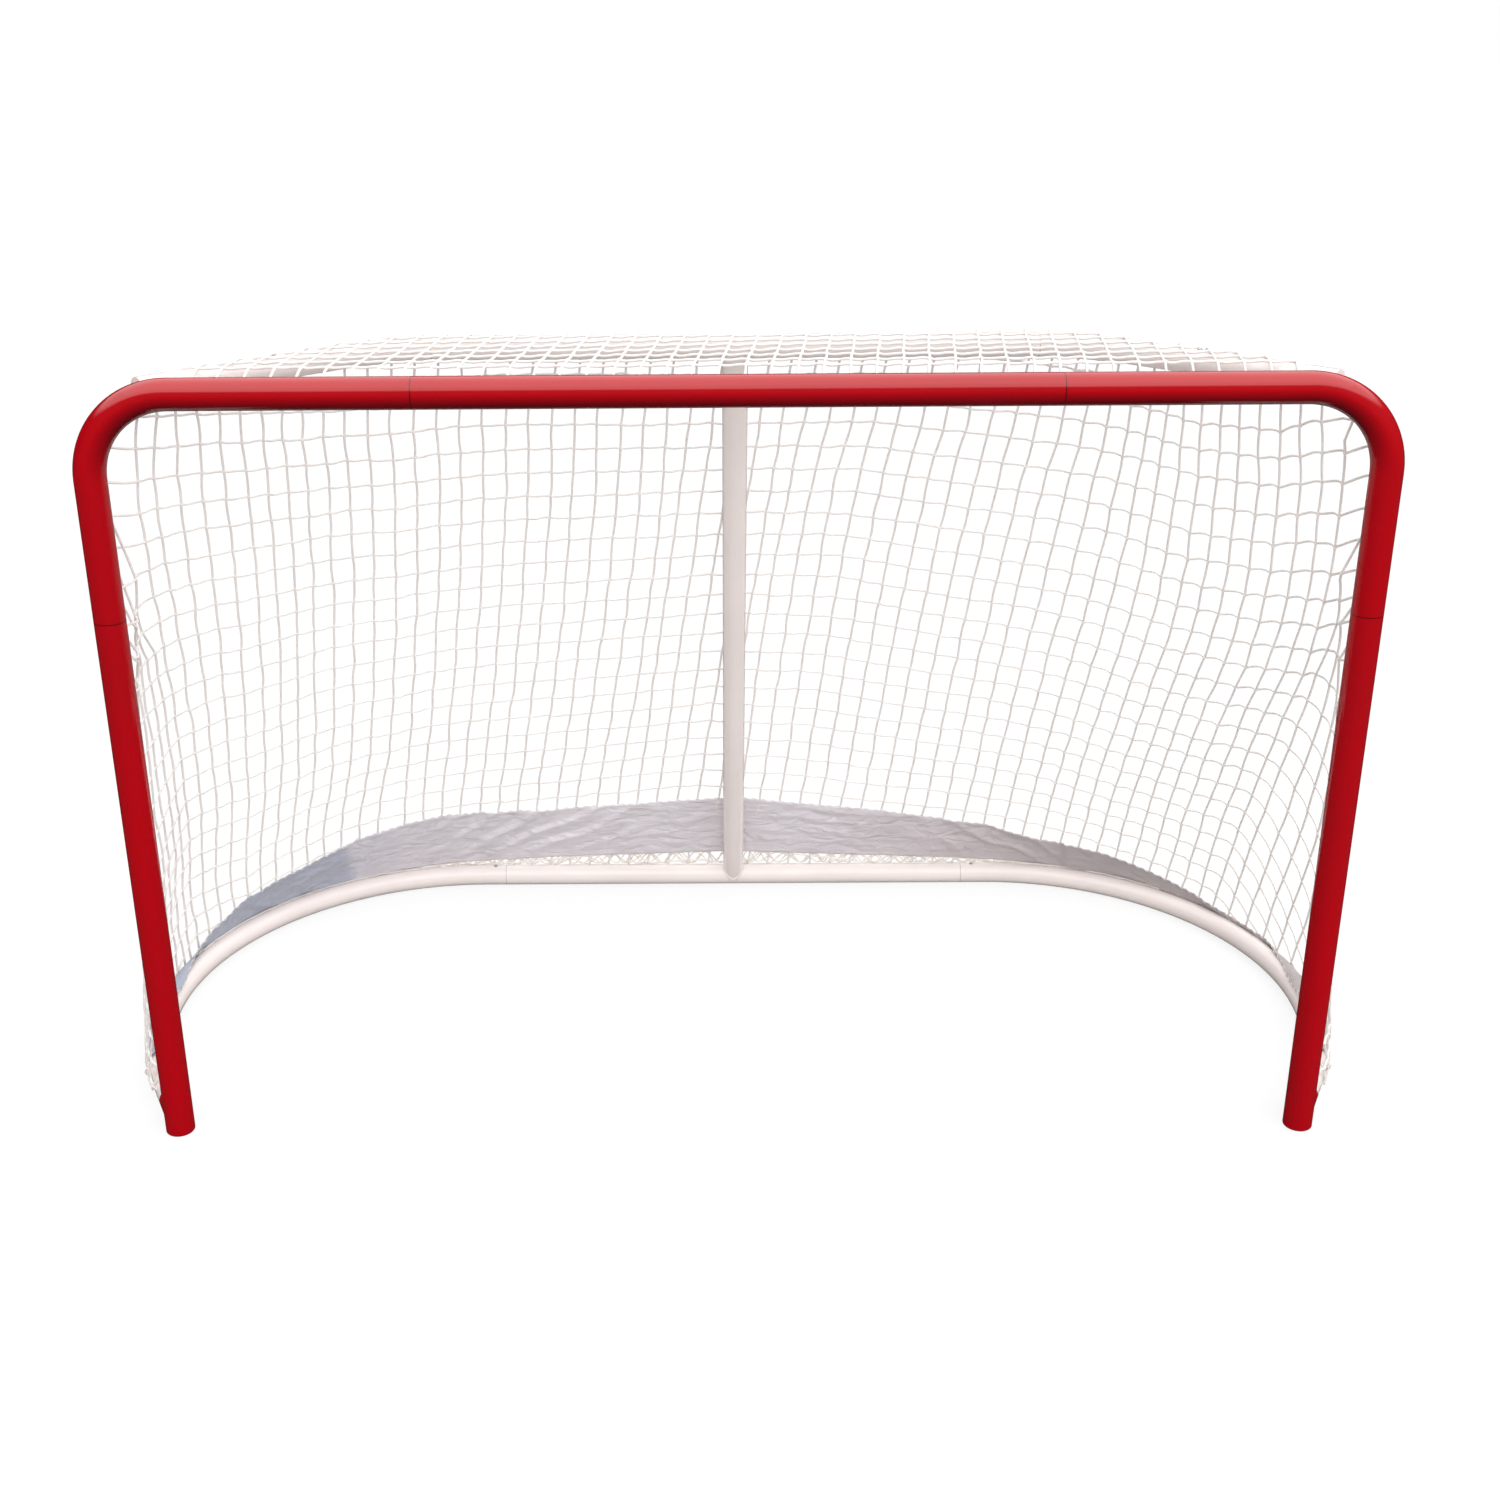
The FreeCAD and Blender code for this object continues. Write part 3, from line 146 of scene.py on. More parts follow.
# The red mouth: the crossbar, two bent corners and two posts with closed feet. They are steel
# tubes, welded, then powder coated in gloss red and pushed together at the seams.
# The third colour of each coat is painted shade, laid on the surfaces that face down.
RED, RED_SCUFF, RED_PAINTED_SHADE, RED_SEAM = "#AD000E", "#8E0410", "#62000A", "#42020A"
WHITE, WHITE_SCUFF, WHITE_PAINTED_SHADE, WHITE_SEAM = "#F8EEEB", "#D6CDCA", "#F6EDEA", "#CBC1BD"
PEEL_SIZE = 0.0016                      # metres, grain of the coating's orange peel
CLOUD_SIZE = 0.18                       # slow changes of tone
KNOCK_SPACING = 0.045                   # from one small scuff to the next
SEAM_WIDTH = 0.0011


def surface(name, **values):
    """A new material with one shader, whose sockets are set by name, its node tree and its shader."""
    made = bpy.data.materials.new(name)
    made.use_nodes = True
    tree = made.node_tree
    tree.nodes.clear()
    sockets = {key.replace("_", " "): value for key, value in values.items()}
    shader = add_node(tree, "ShaderNodeBsdfPrincipled", sockets)
    add_node(tree, "ShaderNodeOutputMaterial", {"Surface": (shader, 0)})
    return made, tree, shader


def powder_coat(name, colours, marks, seams):
    """Gloss powder coat on steel: a fine orange peel, dull scuffs where it was knocked, painted shade that
    darkens the surfaces facing down, and a fine line at each seam (axis, distance)."""
    colour, scuff, under, seam = colours
    made, tree, shader = surface(name, IOR=1.5, Specular_IOR_Level=0.05, Coat_Weight=0.9, Coat_Roughness=0.09,
                                 Coat_IOR=1.6)
    place = add_node(tree, "ShaderNodeTexCoord")
    way = add_node(tree, "ShaderNodeSeparateXYZ", {0: (place, "Normal")})
    # Painted shade: the colour turns to the coat's painted-shade colour on surfaces that face down.
    low = add_node(tree, "ShaderNodeMapRange", {0: (way, "Z"), 1: -0.65, 2: 0.05, 3: 1.0, 4: 0.0})
    cloud = add_node(tree, "ShaderNodeTexNoise",
                     {"Vector": (place, "Object"), "Scale": 1 / CLOUD_SIZE, "Detail": 3.0})
    share = add_node(tree, "ShaderNodeMapRange", {0: (cloud, 0), 1: 0.42, 2: 0.75, 3: 0.0, 4: 0.22})
    base = add_node(tree, "ShaderNodeMix", {0: (low, 0), 6: linear(colour), 7: linear(under)},
                    data_type="RGBA")
    tone = add_node(tree, "ShaderNodeMix", {0: (share, 0), 6: (base, 2), 7: linear(scuff)}, data_type="RGBA")
    knocks = add_node(tree, "ShaderNodeTexVoronoi", {"Vector": (place, "Object"), "Scale": 1 / KNOCK_SPACING})
    knock = add_node(tree, "ShaderNodeMapRange",
                     {0: (knocks, "Distance"), 1: 0.02, 2: 0.06, 3: marks, 4: 0.0})
    worn = add_node(tree, "ShaderNodeMix", {0: (knock, 0), 6: (tone, 2), 7: linear(scuff)}, data_type="RGBA")
    spot = add_node(tree, "ShaderNodeSeparateXYZ", {0: (place, "Object")})
    for axis, distance in seams:
        far = add_node(tree, "ShaderNodeMath", {0: (spot, axis)}, operation="ABSOLUTE")
        off = add_node(tree, "ShaderNodeMath", {0: (far, 0), 1: distance}, operation="SUBTRACT")
        near = add_node(tree, "ShaderNodeMath", {0: (off, 0)}, operation="ABSOLUTE")
        line = add_node(tree, "ShaderNodeMapRange",
                        {0: (near, 0), 1: SEAM_WIDTH / 2, 2: SEAM_WIDTH, 3: 0.9, 4: 0.0})
        worn = add_node(tree, "ShaderNodeMix", {0: (line, 0), 6: (worn, 2), 7: linear(seam)},
                        data_type="RGBA")
    tree.links.new(worn.outputs[2], shader.inputs["Base Color"])
    gloss = add_node(tree, "ShaderNodeMapRange", {0: (cloud, 0), 1: 0.3, 2: 0.8, 3: 0.30, 4: 0.42})
    tree.links.new(gloss.outputs[0], shader.inputs["Roughness"])
    peel = add_node(tree, "ShaderNodeTexNoise",
                    {"Vector": (place, "Object"), "Scale": 1 / PEEL_SIZE, "Detail": 1.0})
    bump = add_node(tree, "ShaderNodeBump", {"Strength": 0.12, "Distance": 0.0002, "Height": (peel, 0)})
    tree.links.new(bump.outputs[0], shader.inputs["Normal"])
    return made


def dress(nodes, material):
    """Gives CAD pieces a material."""
    for name in nodes:
        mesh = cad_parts[name].data
        mesh.materials.clear()
        mesh.materials.append(material)


def pairs(*names):
    return [f"{name}_{side}" for name in names for side in ("left", "right")]


red_coat = powder_coat("gloss_red_powder_coat", (RED, RED_SCUFF, RED_PAINTED_SHADE, RED_SEAM), 0.2,
                       [("X", 0.4630), ("Z", 0.9040)])
dress(["crossbar_middle", "mouth_hooks"] + pairs("corner", "lower_post", "foot_cap"), red_coat)

# The white frame behind the mouth: the floor tube in three pieces, the arms and the bow at
# crossbar height, and the leaning centre post with its two saddles. The same coat, in white.
white_coat = powder_coat("gloss_white_powder_coat", (WHITE, WHITE_SCUFF, WHITE_PAINTED_SHADE, WHITE_SEAM), 0.3,
                         [("X", 0.4792)])
dress(["base_rear", "shelf_bow", "centre_post", "lower_saddle", "upper_saddle", "base_hooks"]
      + pairs("base_side", "shelf_arm"), white_coat)

# Sleeves, spring buttons and screws: plain steel with bright zinc plate. The leaf springs under
# the buttons are hardened strip, darker and oiled.
ZINC_GRAIN, OIL_FILM = 0.0011, 0.004    # metres


def plain_steel(name, roughness, dark, light, grain):
    """Steel whose tone changes a little from grain to grain."""
    made, tree, shader = surface(name, Metallic=1.0, Roughness=roughness)
    place = add_node(tree, "ShaderNodeTexCoord")
    spangle = add_node(tree, "ShaderNodeTexNoise",
                       {"Vector": (place, "Object"), "Scale": 1 / grain, "Detail": 2.0})
    tone = add_node(tree, "ShaderNodeMix", {0: (spangle, 0), 6: linear(dark), 7: linear(light)},
                    data_type="RGBA")
    tree.links.new(tone.outputs[2], shader.inputs["Base Color"])
    return made


zinc = plain_steel("bright_zinc_plate", 0.34, "#A9A8A4", "#C9C8C5", ZINC_GRAIN)
strip = plain_steel("oiled_spring_strip", 0.30, "#5E6064", "#7C7B78", OIL_FILM)
dress(["frame_screws", "stub_screws", "saddle_screws"]
      + pairs("crossbar_sleeve", "post_sleeve", "base_sleeve", "stub_sleeve", "shelf_sleeve",
              "button_base", "button_shelf"), zinc)
dress(pairs("clip_base", "clip_shelf"), strip)

# The net's border cords: three-strand polyester, along the floor tube, the posts and the crossbar,
# held by the welded hooks.
MOUTH_Y = -0.4527                       # the front frame's axis plane
POST_X, BAR_Z, BASE_Z = 0.9382, 1.243, 0.02065
CORNER_BEND = 0.125
BAR_RADIUS, FRAME_RADIUS, SHELF_RADIUS = 0.0238, 0.02065, 0.01905
BASE_HEADING = math.radians(26)
BASE_STRAIGHT, BASE_FRONT_BEND, BASE_REAR_BEND = 0.110, 0.630, 0.525
CORD_RADIUS, CORD_GAP, CORD_LAY = 0.0025, 0.0003, 0.014
POST_CORD_LOW, CROSSBAR_CORD_END = 0.0419, 0.8357
ROPE_STEP = 0.0022

base_wide_x = POST_X + BASE_STRAIGHT * math.sin(BASE_HEADING) + BASE_FRONT_BEND * (1 - math.cos(BASE_HEADING))
base_wide_y = MOUTH_Y + BASE_STRAIGHT * math.cos(BASE_HEADING) + BASE_FRONT_BEND * math.sin(BASE_HEADING)
base_bend_x = base_wide_x - BASE_REAR_BEND
rear_bend_end = base_bend_x + BASE_REAR_BEND * math.pi / 2
front_bend_end = rear_bend_end + BASE_FRONT_BEND * BASE_HEADING
cord_y = MOUTH_Y + BAR_RADIUS + CORD_GAP + CORD_RADIUS


def floor_line(along, out=0.0, z=BASE_Z):
    """A point beside the floor tube's axis: along is from the middle of the back, and out is outwards."""
    far = abs(along)
    if far <= rear_bend_end:
        angle = math.pi / 2 - max(0.0, far - base_bend_x) / BASE_REAR_BEND
        x, y, bend = base_bend_x - max(0.0, base_bend_x - far), base_wide_y, BASE_REAR_BEND
    else:
        angle = -min(far - rear_bend_end, front_bend_end - rear_bend_end) / BASE_FRONT_BEND
        x, y, bend = base_wide_x - BASE_FRONT_BEND, base_wide_y, BASE_FRONT_BEND
    past = max(0.0, far - front_bend_end)
    x += (bend + out) * math.cos(angle) + past * math.sin(angle)
    y += (bend + out) * math.sin(angle) - past * math.cos(angle)
    return Vector((math.copysign(x, along), y, z))


def rope_tree():
    """Geometry nodes that lay three strands round each line of a mesh."""
    tree = bpy.data.node_groups.new("three_strand_rope", "GeometryNodeTree")
    tree.is_modifier = True
    for name, kind in (("Geometry", "NodeSocketGeometry"), ("Strand Radius", "NodeSocketFloat"),
                       ("Off Centre", "NodeSocketFloat"), ("Lay", "NodeSocketFloat"),
                       ("Fibre", "NodeSocketMaterial")):
        tree.interface.new_socket(name, in_out="INPUT", socket_type=kind)
    tree.interface.new_socket("Geometry", in_out="OUTPUT", socket_type="NodeSocketGeometry")
    given = add_node(tree, "NodeGroupInput")
    line = add_node(tree, "GeometryNodeMeshToCurve", {"Mesh": (given, "Geometry")})
    run = add_node(tree, "GeometryNodeSplineParameter")
    turns = add_node(tree, "ShaderNodeMath", {0: (run, "Length"), 1: (given, "Lay")}, operation="DIVIDE")
    twist = add_node(tree, "ShaderNodeMath", {0: (turns, 0), 1: 2 * math.pi}, operation="MULTIPLY")
    wound = add_node(tree, "GeometryNodeSetCurveTilt", {"Curve": (line, 0), "Tilt": (twist, 0)})
    both = add_node(tree, "GeometryNodeJoinGeometry")
    for k in range(3):
        ring = add_node(tree, "GeometryNodeCurvePrimitiveCircle", {"Resolution": 8,
                                                                   "Radius": (given, "Strand Radius")})
        turn = k * 2 * math.pi / 3
        side = add_node(tree, "ShaderNodeVectorMath", {0: (math.cos(turn), math.sin(turn), 0),
                                                       "Scale": (given, "Off Centre")}, operation="SCALE")
        moved = add_node(tree, "GeometryNodeTransform", {"Geometry": (ring, 0), "Translation": (side, 0)})
        strand = add_node(tree, "GeometryNodeCurveToMesh", {"Curve": (wound, 0), "Profile Curve": (moved, 0),
                                                            "Fill Caps": True})
        tree.links.new(strand.outputs[0], both.inputs[0])
    real = add_node(tree, "GeometryNodeRealizeInstances", {0: (both, 0)})
    smooth = add_node(tree, "GeometryNodeSetShadeSmooth", {"Geometry": (real, 0)})
    dressed = add_node(tree, "GeometryNodeSetMaterial",
                       {"Geometry": (smooth, 0), "Material": (given, "Fibre")})
    add_node(tree, "NodeGroupOutput", {0: (dressed, 0)})
    return tree


def lines_object(name, lines):
    """A new object whose mesh is open lines through these points."""
    points = [point for line in lines for point in line]
    edges, start = [], 0
    for line in lines:
        edges += [(k, k + 1) for k in range(start, start + len(line) - 1)]
        start += len(line)
    mesh = bpy.data.meshes.new(name)
    mesh.from_pydata(points, edges, [])
    made = bpy.data.objects.new(name, mesh)
    scene.collection.objects.link(made)
    return made


def grown(piece, tree, **values):
    """Turns the piece's mesh into what the tree makes of it, with the modifier gone."""
    sockets = {item.name: item.identifier for item in tree.interface.items_tree if item.in_out == "INPUT"}
    modifier = piece.modifiers.new("grow", "NODES")
    modifier.node_group = tree
    for name, value in values.items():
        modifier[sockets[name.replace("_", " ")]] = value
    bpy.context.view_layer.update()
    ready = piece.evaluated_get(bpy.context.evaluated_depsgraph_get())
    mesh = bpy.data.meshes.new_from_object(ready)
    old = piece.data
    piece.modifiers.clear()
    piece.data = mesh
    bpy.data.meshes.remove(old)
    mesh.name = piece.name
    return piece


def fibre(name, light, dark, fuzz):
    """Matt polyester yarn: off-white, a little soiled in places, with loose fibres along it."""
    made, tree, shader = surface(name, Roughness=0.82, IOR=1.5, Sheen_Weight=0.25, Sheen_Roughness=0.5)
    place = add_node(tree, "ShaderNodeTexCoord")
    soil = add_node(tree, "ShaderNodeTexNoise", {"Vector": (place, "Object"), "Scale": 9.0, "Detail": 4.0})
    tone = add_node(tree, "ShaderNodeMapRange", {0: (soil, 0), 1: 0.30, 2: 0.72, 3: 0.0, 4: 1.0})
    colour = add_node(tree, "ShaderNodeMix", {0: (tone, 0), 6: linear(light), 7: linear(dark)},
                      data_type="RGBA")
    tree.links.new(colour.outputs[2], shader.inputs["Base Color"])
    hair = add_node(tree, "ShaderNodeTexNoise",
                    {"Vector": (place, "Object"), "Scale": 1 / fuzz, "Detail": 2.0})
    bump = add_node(tree, "ShaderNodeBump", {"Strength": 0.4, "Distance": 0.0003, "Height": (hair, 0)})
    tree.links.new(bump.outputs[0], shader.inputs["Normal"])
    return made


cord_fibre = fibre("three_strand_polyester_cord", "#F3EFEC", "#D9D3CF", 0.0006)
rope_nodes = rope_tree()


def spread(low, high, step):
    """Evenly spaced values from low to high, about a step apart."""
    return [float(v) for v in np.linspace(low, high, max(2, round((high - low) / step) + 1))]


def rope(name, line, replaced):
    """A border cord along a line of points."""
    piece = lines_object(name, [line])
    grown(piece, rope_nodes, Strand_Radius=CORD_RADIUS * 0.52, Off_Centre=CORD_RADIUS * 0.5, Lay=CORD_LAY,
          Fibre=cord_fibre)
    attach(piece, "goal_frame")
    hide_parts(replaced)


cord_out = FRAME_RADIUS + CORD_GAP + CORD_RADIUS
base_line = [floor_line(a, cord_out) for a in spread(-front_bend_end, front_bend_end, ROPE_STEP * 1.5)]
rope("base_cord_rope", base_line, "base_cord")
bar_line = [Vector((x, cord_y, BAR_Z)) for x in spread(-CROSSBAR_CORD_END, CROSSBAR_CORD_END, ROPE_STEP)]
rope("crossbar_cord_rope", bar_line, "crossbar_cord")
for side, name in ((-1, "left"), (1, "right")):
    up = [Vector((POST_X * side, cord_y, z)) for z in spread(POST_CORD_LOW, BAR_Z - CORNER_BEND, ROPE_STEP)]
    round_bend = [Vector(((POST_X - CORNER_BEND + CORNER_BEND * math.cos(a)) * side, cord_y,
                          BAR_Z - CORNER_BEND + CORNER_BEND * math.sin(a)))
                  for a in spread(0, math.pi / 4, ROPE_STEP / CORNER_BEND)]
    rope(f"post_cord_rope_{name}", up + round_bend[1:], f"post_cord_{name}")

# The net: one wall of knotted twine round the back and the sides, drawn over the white tubes from
# outside and laced to the cords. It is soft polyester netting, and its squares hang a little askew.
WALL_OUT_LOW, WALL_OUT_HIGH = 0.0240, 0.0215    # from the tubes' axes
SHELF_HEADING = math.radians(47)
SHELF_FOOT_X, SHELF_LEG, SHELF_BEND, SHELF_GAP = 0.8952, 0.382, 0.250, 0.044
TWINE_RADIUS, KNOT_RADIUS = 0.0021, 0.0031
LAST_ROW = 18                           # the row whose heights and places are given below
STRAND_STEPS = 5
# (column, distance from the middle along the wall) in the first row and in that one
FIRST_PLACES = [(-60, -1.966), (-27, -1.009), (-19, -0.725), (17, 0.652), (25, 0.931), (27, 0.996),
                (28, 1.052), (60, 2.14)]
LAST_PLACES = [(-60, -2.11), (-27, -1.155), (-19, -0.862), (-7, -0.392), (9, 0.269), (17, 0.607), (29, 1.073),
               (60, 2.13)]
# how far the right half is drawn aside between those rows: (column, share) and (share of the height, metres)
RIGHT_DRAWN = [(14, 0.0), (18, 0.35), (21, 0.75), (25, 1.0), (27, 1.15), (28, 0.9), (60, 0.9)]
DRAWN_ASIDE = [(-0.22, -0.045), (-0.11, -0.024), (0.0, 0.0), (0.056, 0.010), (0.11, 0.019), (0.167, 0.028),
               (0.28, 0.036), (0.40, 0.032), (0.50, 0.020), (0.67, 0.009), (0.85, 0.0)]
# (column, height) in the same two rows, and how far the rows between them sag
FIRST_HEIGHTS = [(-28, 1.150), (-19, 1.105), (-15, 1.088), (-10, 1.099), (6, 1.100), (13, 1.063), (21, 1.035),
                 (25, 1.043), (28, 1.080)]
LAST_HEIGHTS = [(-29, 0.250), (-23, 0.210), (-15, 0.250), (-7, 0.276), (1, 0.312), (5, 0.299), (13, 0.243),
                (21, 0.172), (29, 0.134)]
ROW_SAG = [(-29, 0.030), (-24, 0.002), (-19, 0.002), (-15, 0.010), (-8, 0.002), (6, 0.0), (12, 0.018),
           (20, 0.038), (27, 0.020), (30, 0.015)]
# Beyond these columns the meshes are pulled towards the posts' cords: their upper rows up and aside,
# their rows below the middle one down. The amounts are metres, or metres for each row and column.
RIGHT_WHOLE, LEFT_WHOLE, MIDDLE_ROW = 28, -27, 9
FAN_REACH, FAN_ROWS_UP, FAN_ROWS_DOWN = 6, 4, 5         # columns and rows over which the pull grows
RIGHT_FAN_UP, RIGHT_FAN_DOWN, LEFT_FAN_DOWN = 0.009, 0.005, 0.004
RIGHT_SPREAD, RIGHT_TOP_ASIDE = 0.016, 0.050
LEFT_TOP_ASIDE, LEFT_TOP_UP, LEFT_FOOT_ASIDE = 0.060, 0.014, 0.016
LEFT_TUG, LEFT_TUG_SHARE = 0.022, 0.17  # a pull on the left, and the share of the height where it is most
KNOT_CLEAR, KNOT_CLEAR_HIGH = 0.022, 0.016      # from the posts' cords to a knot, and more between these
HIGH_FROM, HIGH_TO = 0.85, 1.12                 # heights


def at(curve, value):
    """The height of a line through (place, height) points."""
    return float(np.interp(value, *zip(*curve)))


def held(value, most=1.0):
    """A value kept between nothing and the most that it may be."""
    return min(max(value, 0.0), most)


def in_plan(middle, radius, angle):
    return Vector((middle[0] + radius * math.cos(angle), middle[1] + radius * math.sin(angle)))


def along_arm(distance):
    """A point in plan on the right arm's axis, this far from its foot."""
    return Vector((SHELF_FOOT_X - distance * math.sin(SHELF_HEADING),
                   MOUTH_Y + distance * math.cos(SHELF_HEADING)))


shelf_middle = in_plan(along_arm(SHELF_LEG), -SHELF_BEND, SHELF_HEADING)
ear_foot = along_arm(SHELF_GAP)
ear = in_plan(ear_foot, WALL_OUT_HIGH, SHELF_HEADING)


def wall_edges():
    """Matching points along the wall's foot and its top, from the middle of the back to the front."""
    lows = [floor_line(along, WALL_OUT_LOW).xy for along in spread(0, base_bend_x, 0.05)]
    highs = [Vector((shelf_middle.x * k, shelf_middle.y + SHELF_BEND + WALL_OUT_HIGH))
             for k in np.linspace(0, 1, len(lows))]
    for angle in np.linspace(math.pi / 2, SHELF_HEADING, 30)[1:]:
        lows.append(in_plan((base_bend_x, base_wide_y), BASE_REAR_BEND + WALL_OUT_LOW, angle))
        highs.append(in_plan(shelf_middle, SHELF_BEND + WALL_OUT_HIGH, angle))
    leg_top = highs[-1]
    for k in np.linspace(0, 1, 10)[1:]:
        lows.append(lows[-1])
        highs.append(leg_top.lerp(ear, k))
    heading_end = base_bend_x + BASE_REAR_BEND * (math.pi / 2 - SHELF_HEADING)
    for along in spread(heading_end, front_bend_end, 0.03)[1:]:
        lows.append(floor_line(along, WALL_OUT_LOW).xy)
        highs.append(ear)
    return np.array(lows), np.array(highs)


wall_low, wall_high = wall_edges()
level_cache = {}


def level_curve(z):
    """Plan of the wall at a height, from the middle to the right post's cord, and the way along it."""
    key = round(z, 4)
    if key not in level_cache:
        share = (key - BASE_Z) / (BAR_Z - BASE_Z)
        above = held(key - (BAR_Z - CORNER_BEND), CORNER_BEND)
        post_edge = (POST_X - CORNER_BEND + math.sqrt(CORNER_BEND ** 2 - above ** 2), cord_y)
        plan = np.vstack([wall_low * (1 - share) + wall_high * share, post_edge])
        level_cache[key] = plan, np.concatenate([[0.0], np.cumsum(np.hypot(*(plan[1:] - plan[:-1]).T))])
    return level_cache[key]


def on_wall(s, z):
    """Whether the net reaches this place of the wall."""
    return BASE_Z <= z <= BAR_Z and abs(s) <= level_curve(z)[1][-1]


def clear_of_edge(s, z):
    """Whether a knot fits here: close to the posts' cords the net is drawn straight to them."""
    drawn = KNOT_CLEAR + KNOT_CLEAR_HIGH * held((z - HIGH_FROM) / 0.1) * held((HIGH_TO - z) / 0.05)
    return on_wall(s, z) and abs(s) <= level_curve(z)[1][-1] - drawn


def wall_place(s, z):
    """A point on the wall: s is the distance from the middle along its level curve, to the right."""
    plan, along = level_curve(z)
    x, y = (float(np.interp(abs(s), along, plan[:, k])) for k in (0, 1))
    return Vector((math.copysign(x, s), y, z))


def pulled_right(column, row, k):
    """How far a knot of the right half is pulled along the wall, and up."""
    beyond = held(column - RIGHT_WHOLE, FAN_REACH)
    apart = RIGHT_SPREAD * max(beyond - 1, 0)
    aside = at(RIGHT_DRAWN, column) * at(DRAWN_ASIDE, k) + apart
    aside += RIGHT_TOP_ASIDE * held((6.5 - row) / 3) * (column > RIGHT_WHOLE)
    fan = RIGHT_FAN_UP * held(MIDDLE_ROW - row, FAN_ROWS_UP)
    fan -= RIGHT_FAN_DOWN * held(row - MIDDLE_ROW, FAN_ROWS_DOWN)
    return aside, beyond * fan - apart


def pulled_left(column, row, k):
    """How far a knot of the left half is pulled along the wall, and up."""
    beyond, low = column < LEFT_WHOLE, max(k, 0) / LEFT_TUG_SHARE
    aside = 0.25 * max(-k, 0) * held((-column - 25) / 2)
    aside -= LEFT_TUG * held((-column - 22) / 5) * low * math.exp(1 - low)
    aside -= LEFT_TOP_ASIDE * held((7.0 - row) / 2) * beyond
    aside -= LEFT_FOOT_ASIDE * held((k - 0.85) / 0.2) * (column < -14)
    up = LEFT_TOP_UP * held((6.5 - row) / 3) * beyond
    up -= LEFT_FAN_DOWN * held(LEFT_WHOLE - column, FAN_REACH) * held(row - MIDDLE_ROW, FAN_ROWS_DOWN)
    return aside, up


def lattice(column, row):
    """Where a column and a row of the netting cross: distance along the wall, and height."""
    k = row / LAST_ROW
    bent = k ** (1.3 if column < -2 else 0.75 if column > 2 else 1.0) if 0 < k < 1 else k
    first, last = at(FIRST_PLACES, column), at(LAST_PLACES, column)
    s = first + (last - first) * bent
    first, last = at(FIRST_HEIGHTS, column), at(LAST_HEIGHTS, column)
    z = first + (last - first) * k - at(ROW_SAG, column) * max(0.0, 4 * k * (1 - k))
    aside, up = pulled_right(column, row, k) if column > 0 else pulled_left(column, row, k)
    return s + aside, z + up


def cut_at_edge(inside, start, end):
    """The largest share of the way from start to end, and on past it, that stays inside."""
    low, high = 0.0, 2.5
    for _ in range(14):
        middle = (low + high) / 2
        if inside(*(a + (b - a) * middle for a, b in zip(start, end))):
            low = middle
        else:
            high = middle
    return low


def woven(columns, rows, chart, inside, knotted):
    """Crossings of a piece of netting, and its strands: two crossings and the share that is there."""
    crossings = {(c, r): chart(c, r) for c in columns for r in rows}
    knots = {key: place for key, place in crossings.items() if knotted(*place)}
    strands = []
    for key, place in knots.items():
        for step in ((1, 0), (-1, 0), (0, 1), (0, -1)):
            other = (key[0] + step[0], key[1] + step[1])
            if other in knots:
                if sum(step) > 0:
                    strands.append((key, other, 1.0))
                continue
            share = cut_at_edge(inside, place, chart(*other))
            if share > 0.08:
                strands.append((key, other, share))
    return knots, strands


net_random = random.Random(11)
wall_knots, wall_strands = woven(range(-60, 61), range(-4, 26), lattice, on_wall, clear_of_edge)
drift = {(c, r): Vector([net_random.uniform(-1, 1) for _ in range(3)]) * 0.0015
         for c in range(-62, 63) for r in range(-6, 28)}


def wall_spot(key, other, share):
    """A point between two crossings of the wall's netting, with the twine's own unevenness."""
    (s, z), (far_s, far_z) = lattice(*key), lattice(*other)
    s, z = s + (far_s - s) * share, z + (far_z - z) * share
    reach = level_curve(z)[1][-1]
    free = min(1.0, (reach - abs(s)) / 0.01, (BAR_Z - z) / 0.01)
    return wall_place(s, z) + drift[key].lerp(drift[other], share) * max(free, 0.0)


def netting_mesh(name, knots, strands, spot, arch, taut):
    """Points and edges of a net: a knot is a marked point, and a strand is a chain of short edges. In a
    taut net the strands that end at its border run straight."""
    points, edges, marks, upright = [], [], [], []
    index = {}
    for key in sorted(knots):
        index[key] = len(points)
        points.append(spot(key, key, 0.0))
        marks.append(1.0)
        upright.append(0.5)
    for key, other, share in sorted(strands):
        standing = 1.0 if key[0] == other[0] else 0.0
        lift = (arch(points[index[key]]) + net_random.uniform(-0.0008, 0.0008)) * (1 - standing)
        sway = net_random.uniform(-0.0014, 0.0014)
        slack = net_random.uniform(0.0004, 0.0012) * (1 - standing)
        chain = [index[key]]
        tip = spot(key, other, share)
        for step in range(1, STRAND_STEPS + 1):
            k = step / STRAND_STEPS
            if step == STRAND_STEPS and share == 1.0 and other in index:
                chain.append(index[other])
                continue
            point = points[index[key]].lerp(tip, k) if taut and share != 1.0 else spot(key, other, k * share)
            point = point + Vector((sway * standing, sway, lift)) * 4 * k * (1 - k)
            point.z -= slack * math.sin(2 * math.pi * k)
            chain.append(len(points))
            points.append(point)
            marks.append(0.0)
            upright.append(standing)
        edges += list(zip(chain, chain[1:]))
    mesh = bpy.data.meshes.new(name)
    mesh.from_pydata(points, edges, [])
    # The upright value marks standing strands, which the twine's material draws in painted shade.
    for attribute, values in (("knot", marks), ("upright", upright)):
        mesh.attributes.new(attribute, "FLOAT", "POINT").data.foreach_set("value", values)
    made = bpy.data.objects.new(name, mesh)
    scene.collection.objects.link(made)
    return made


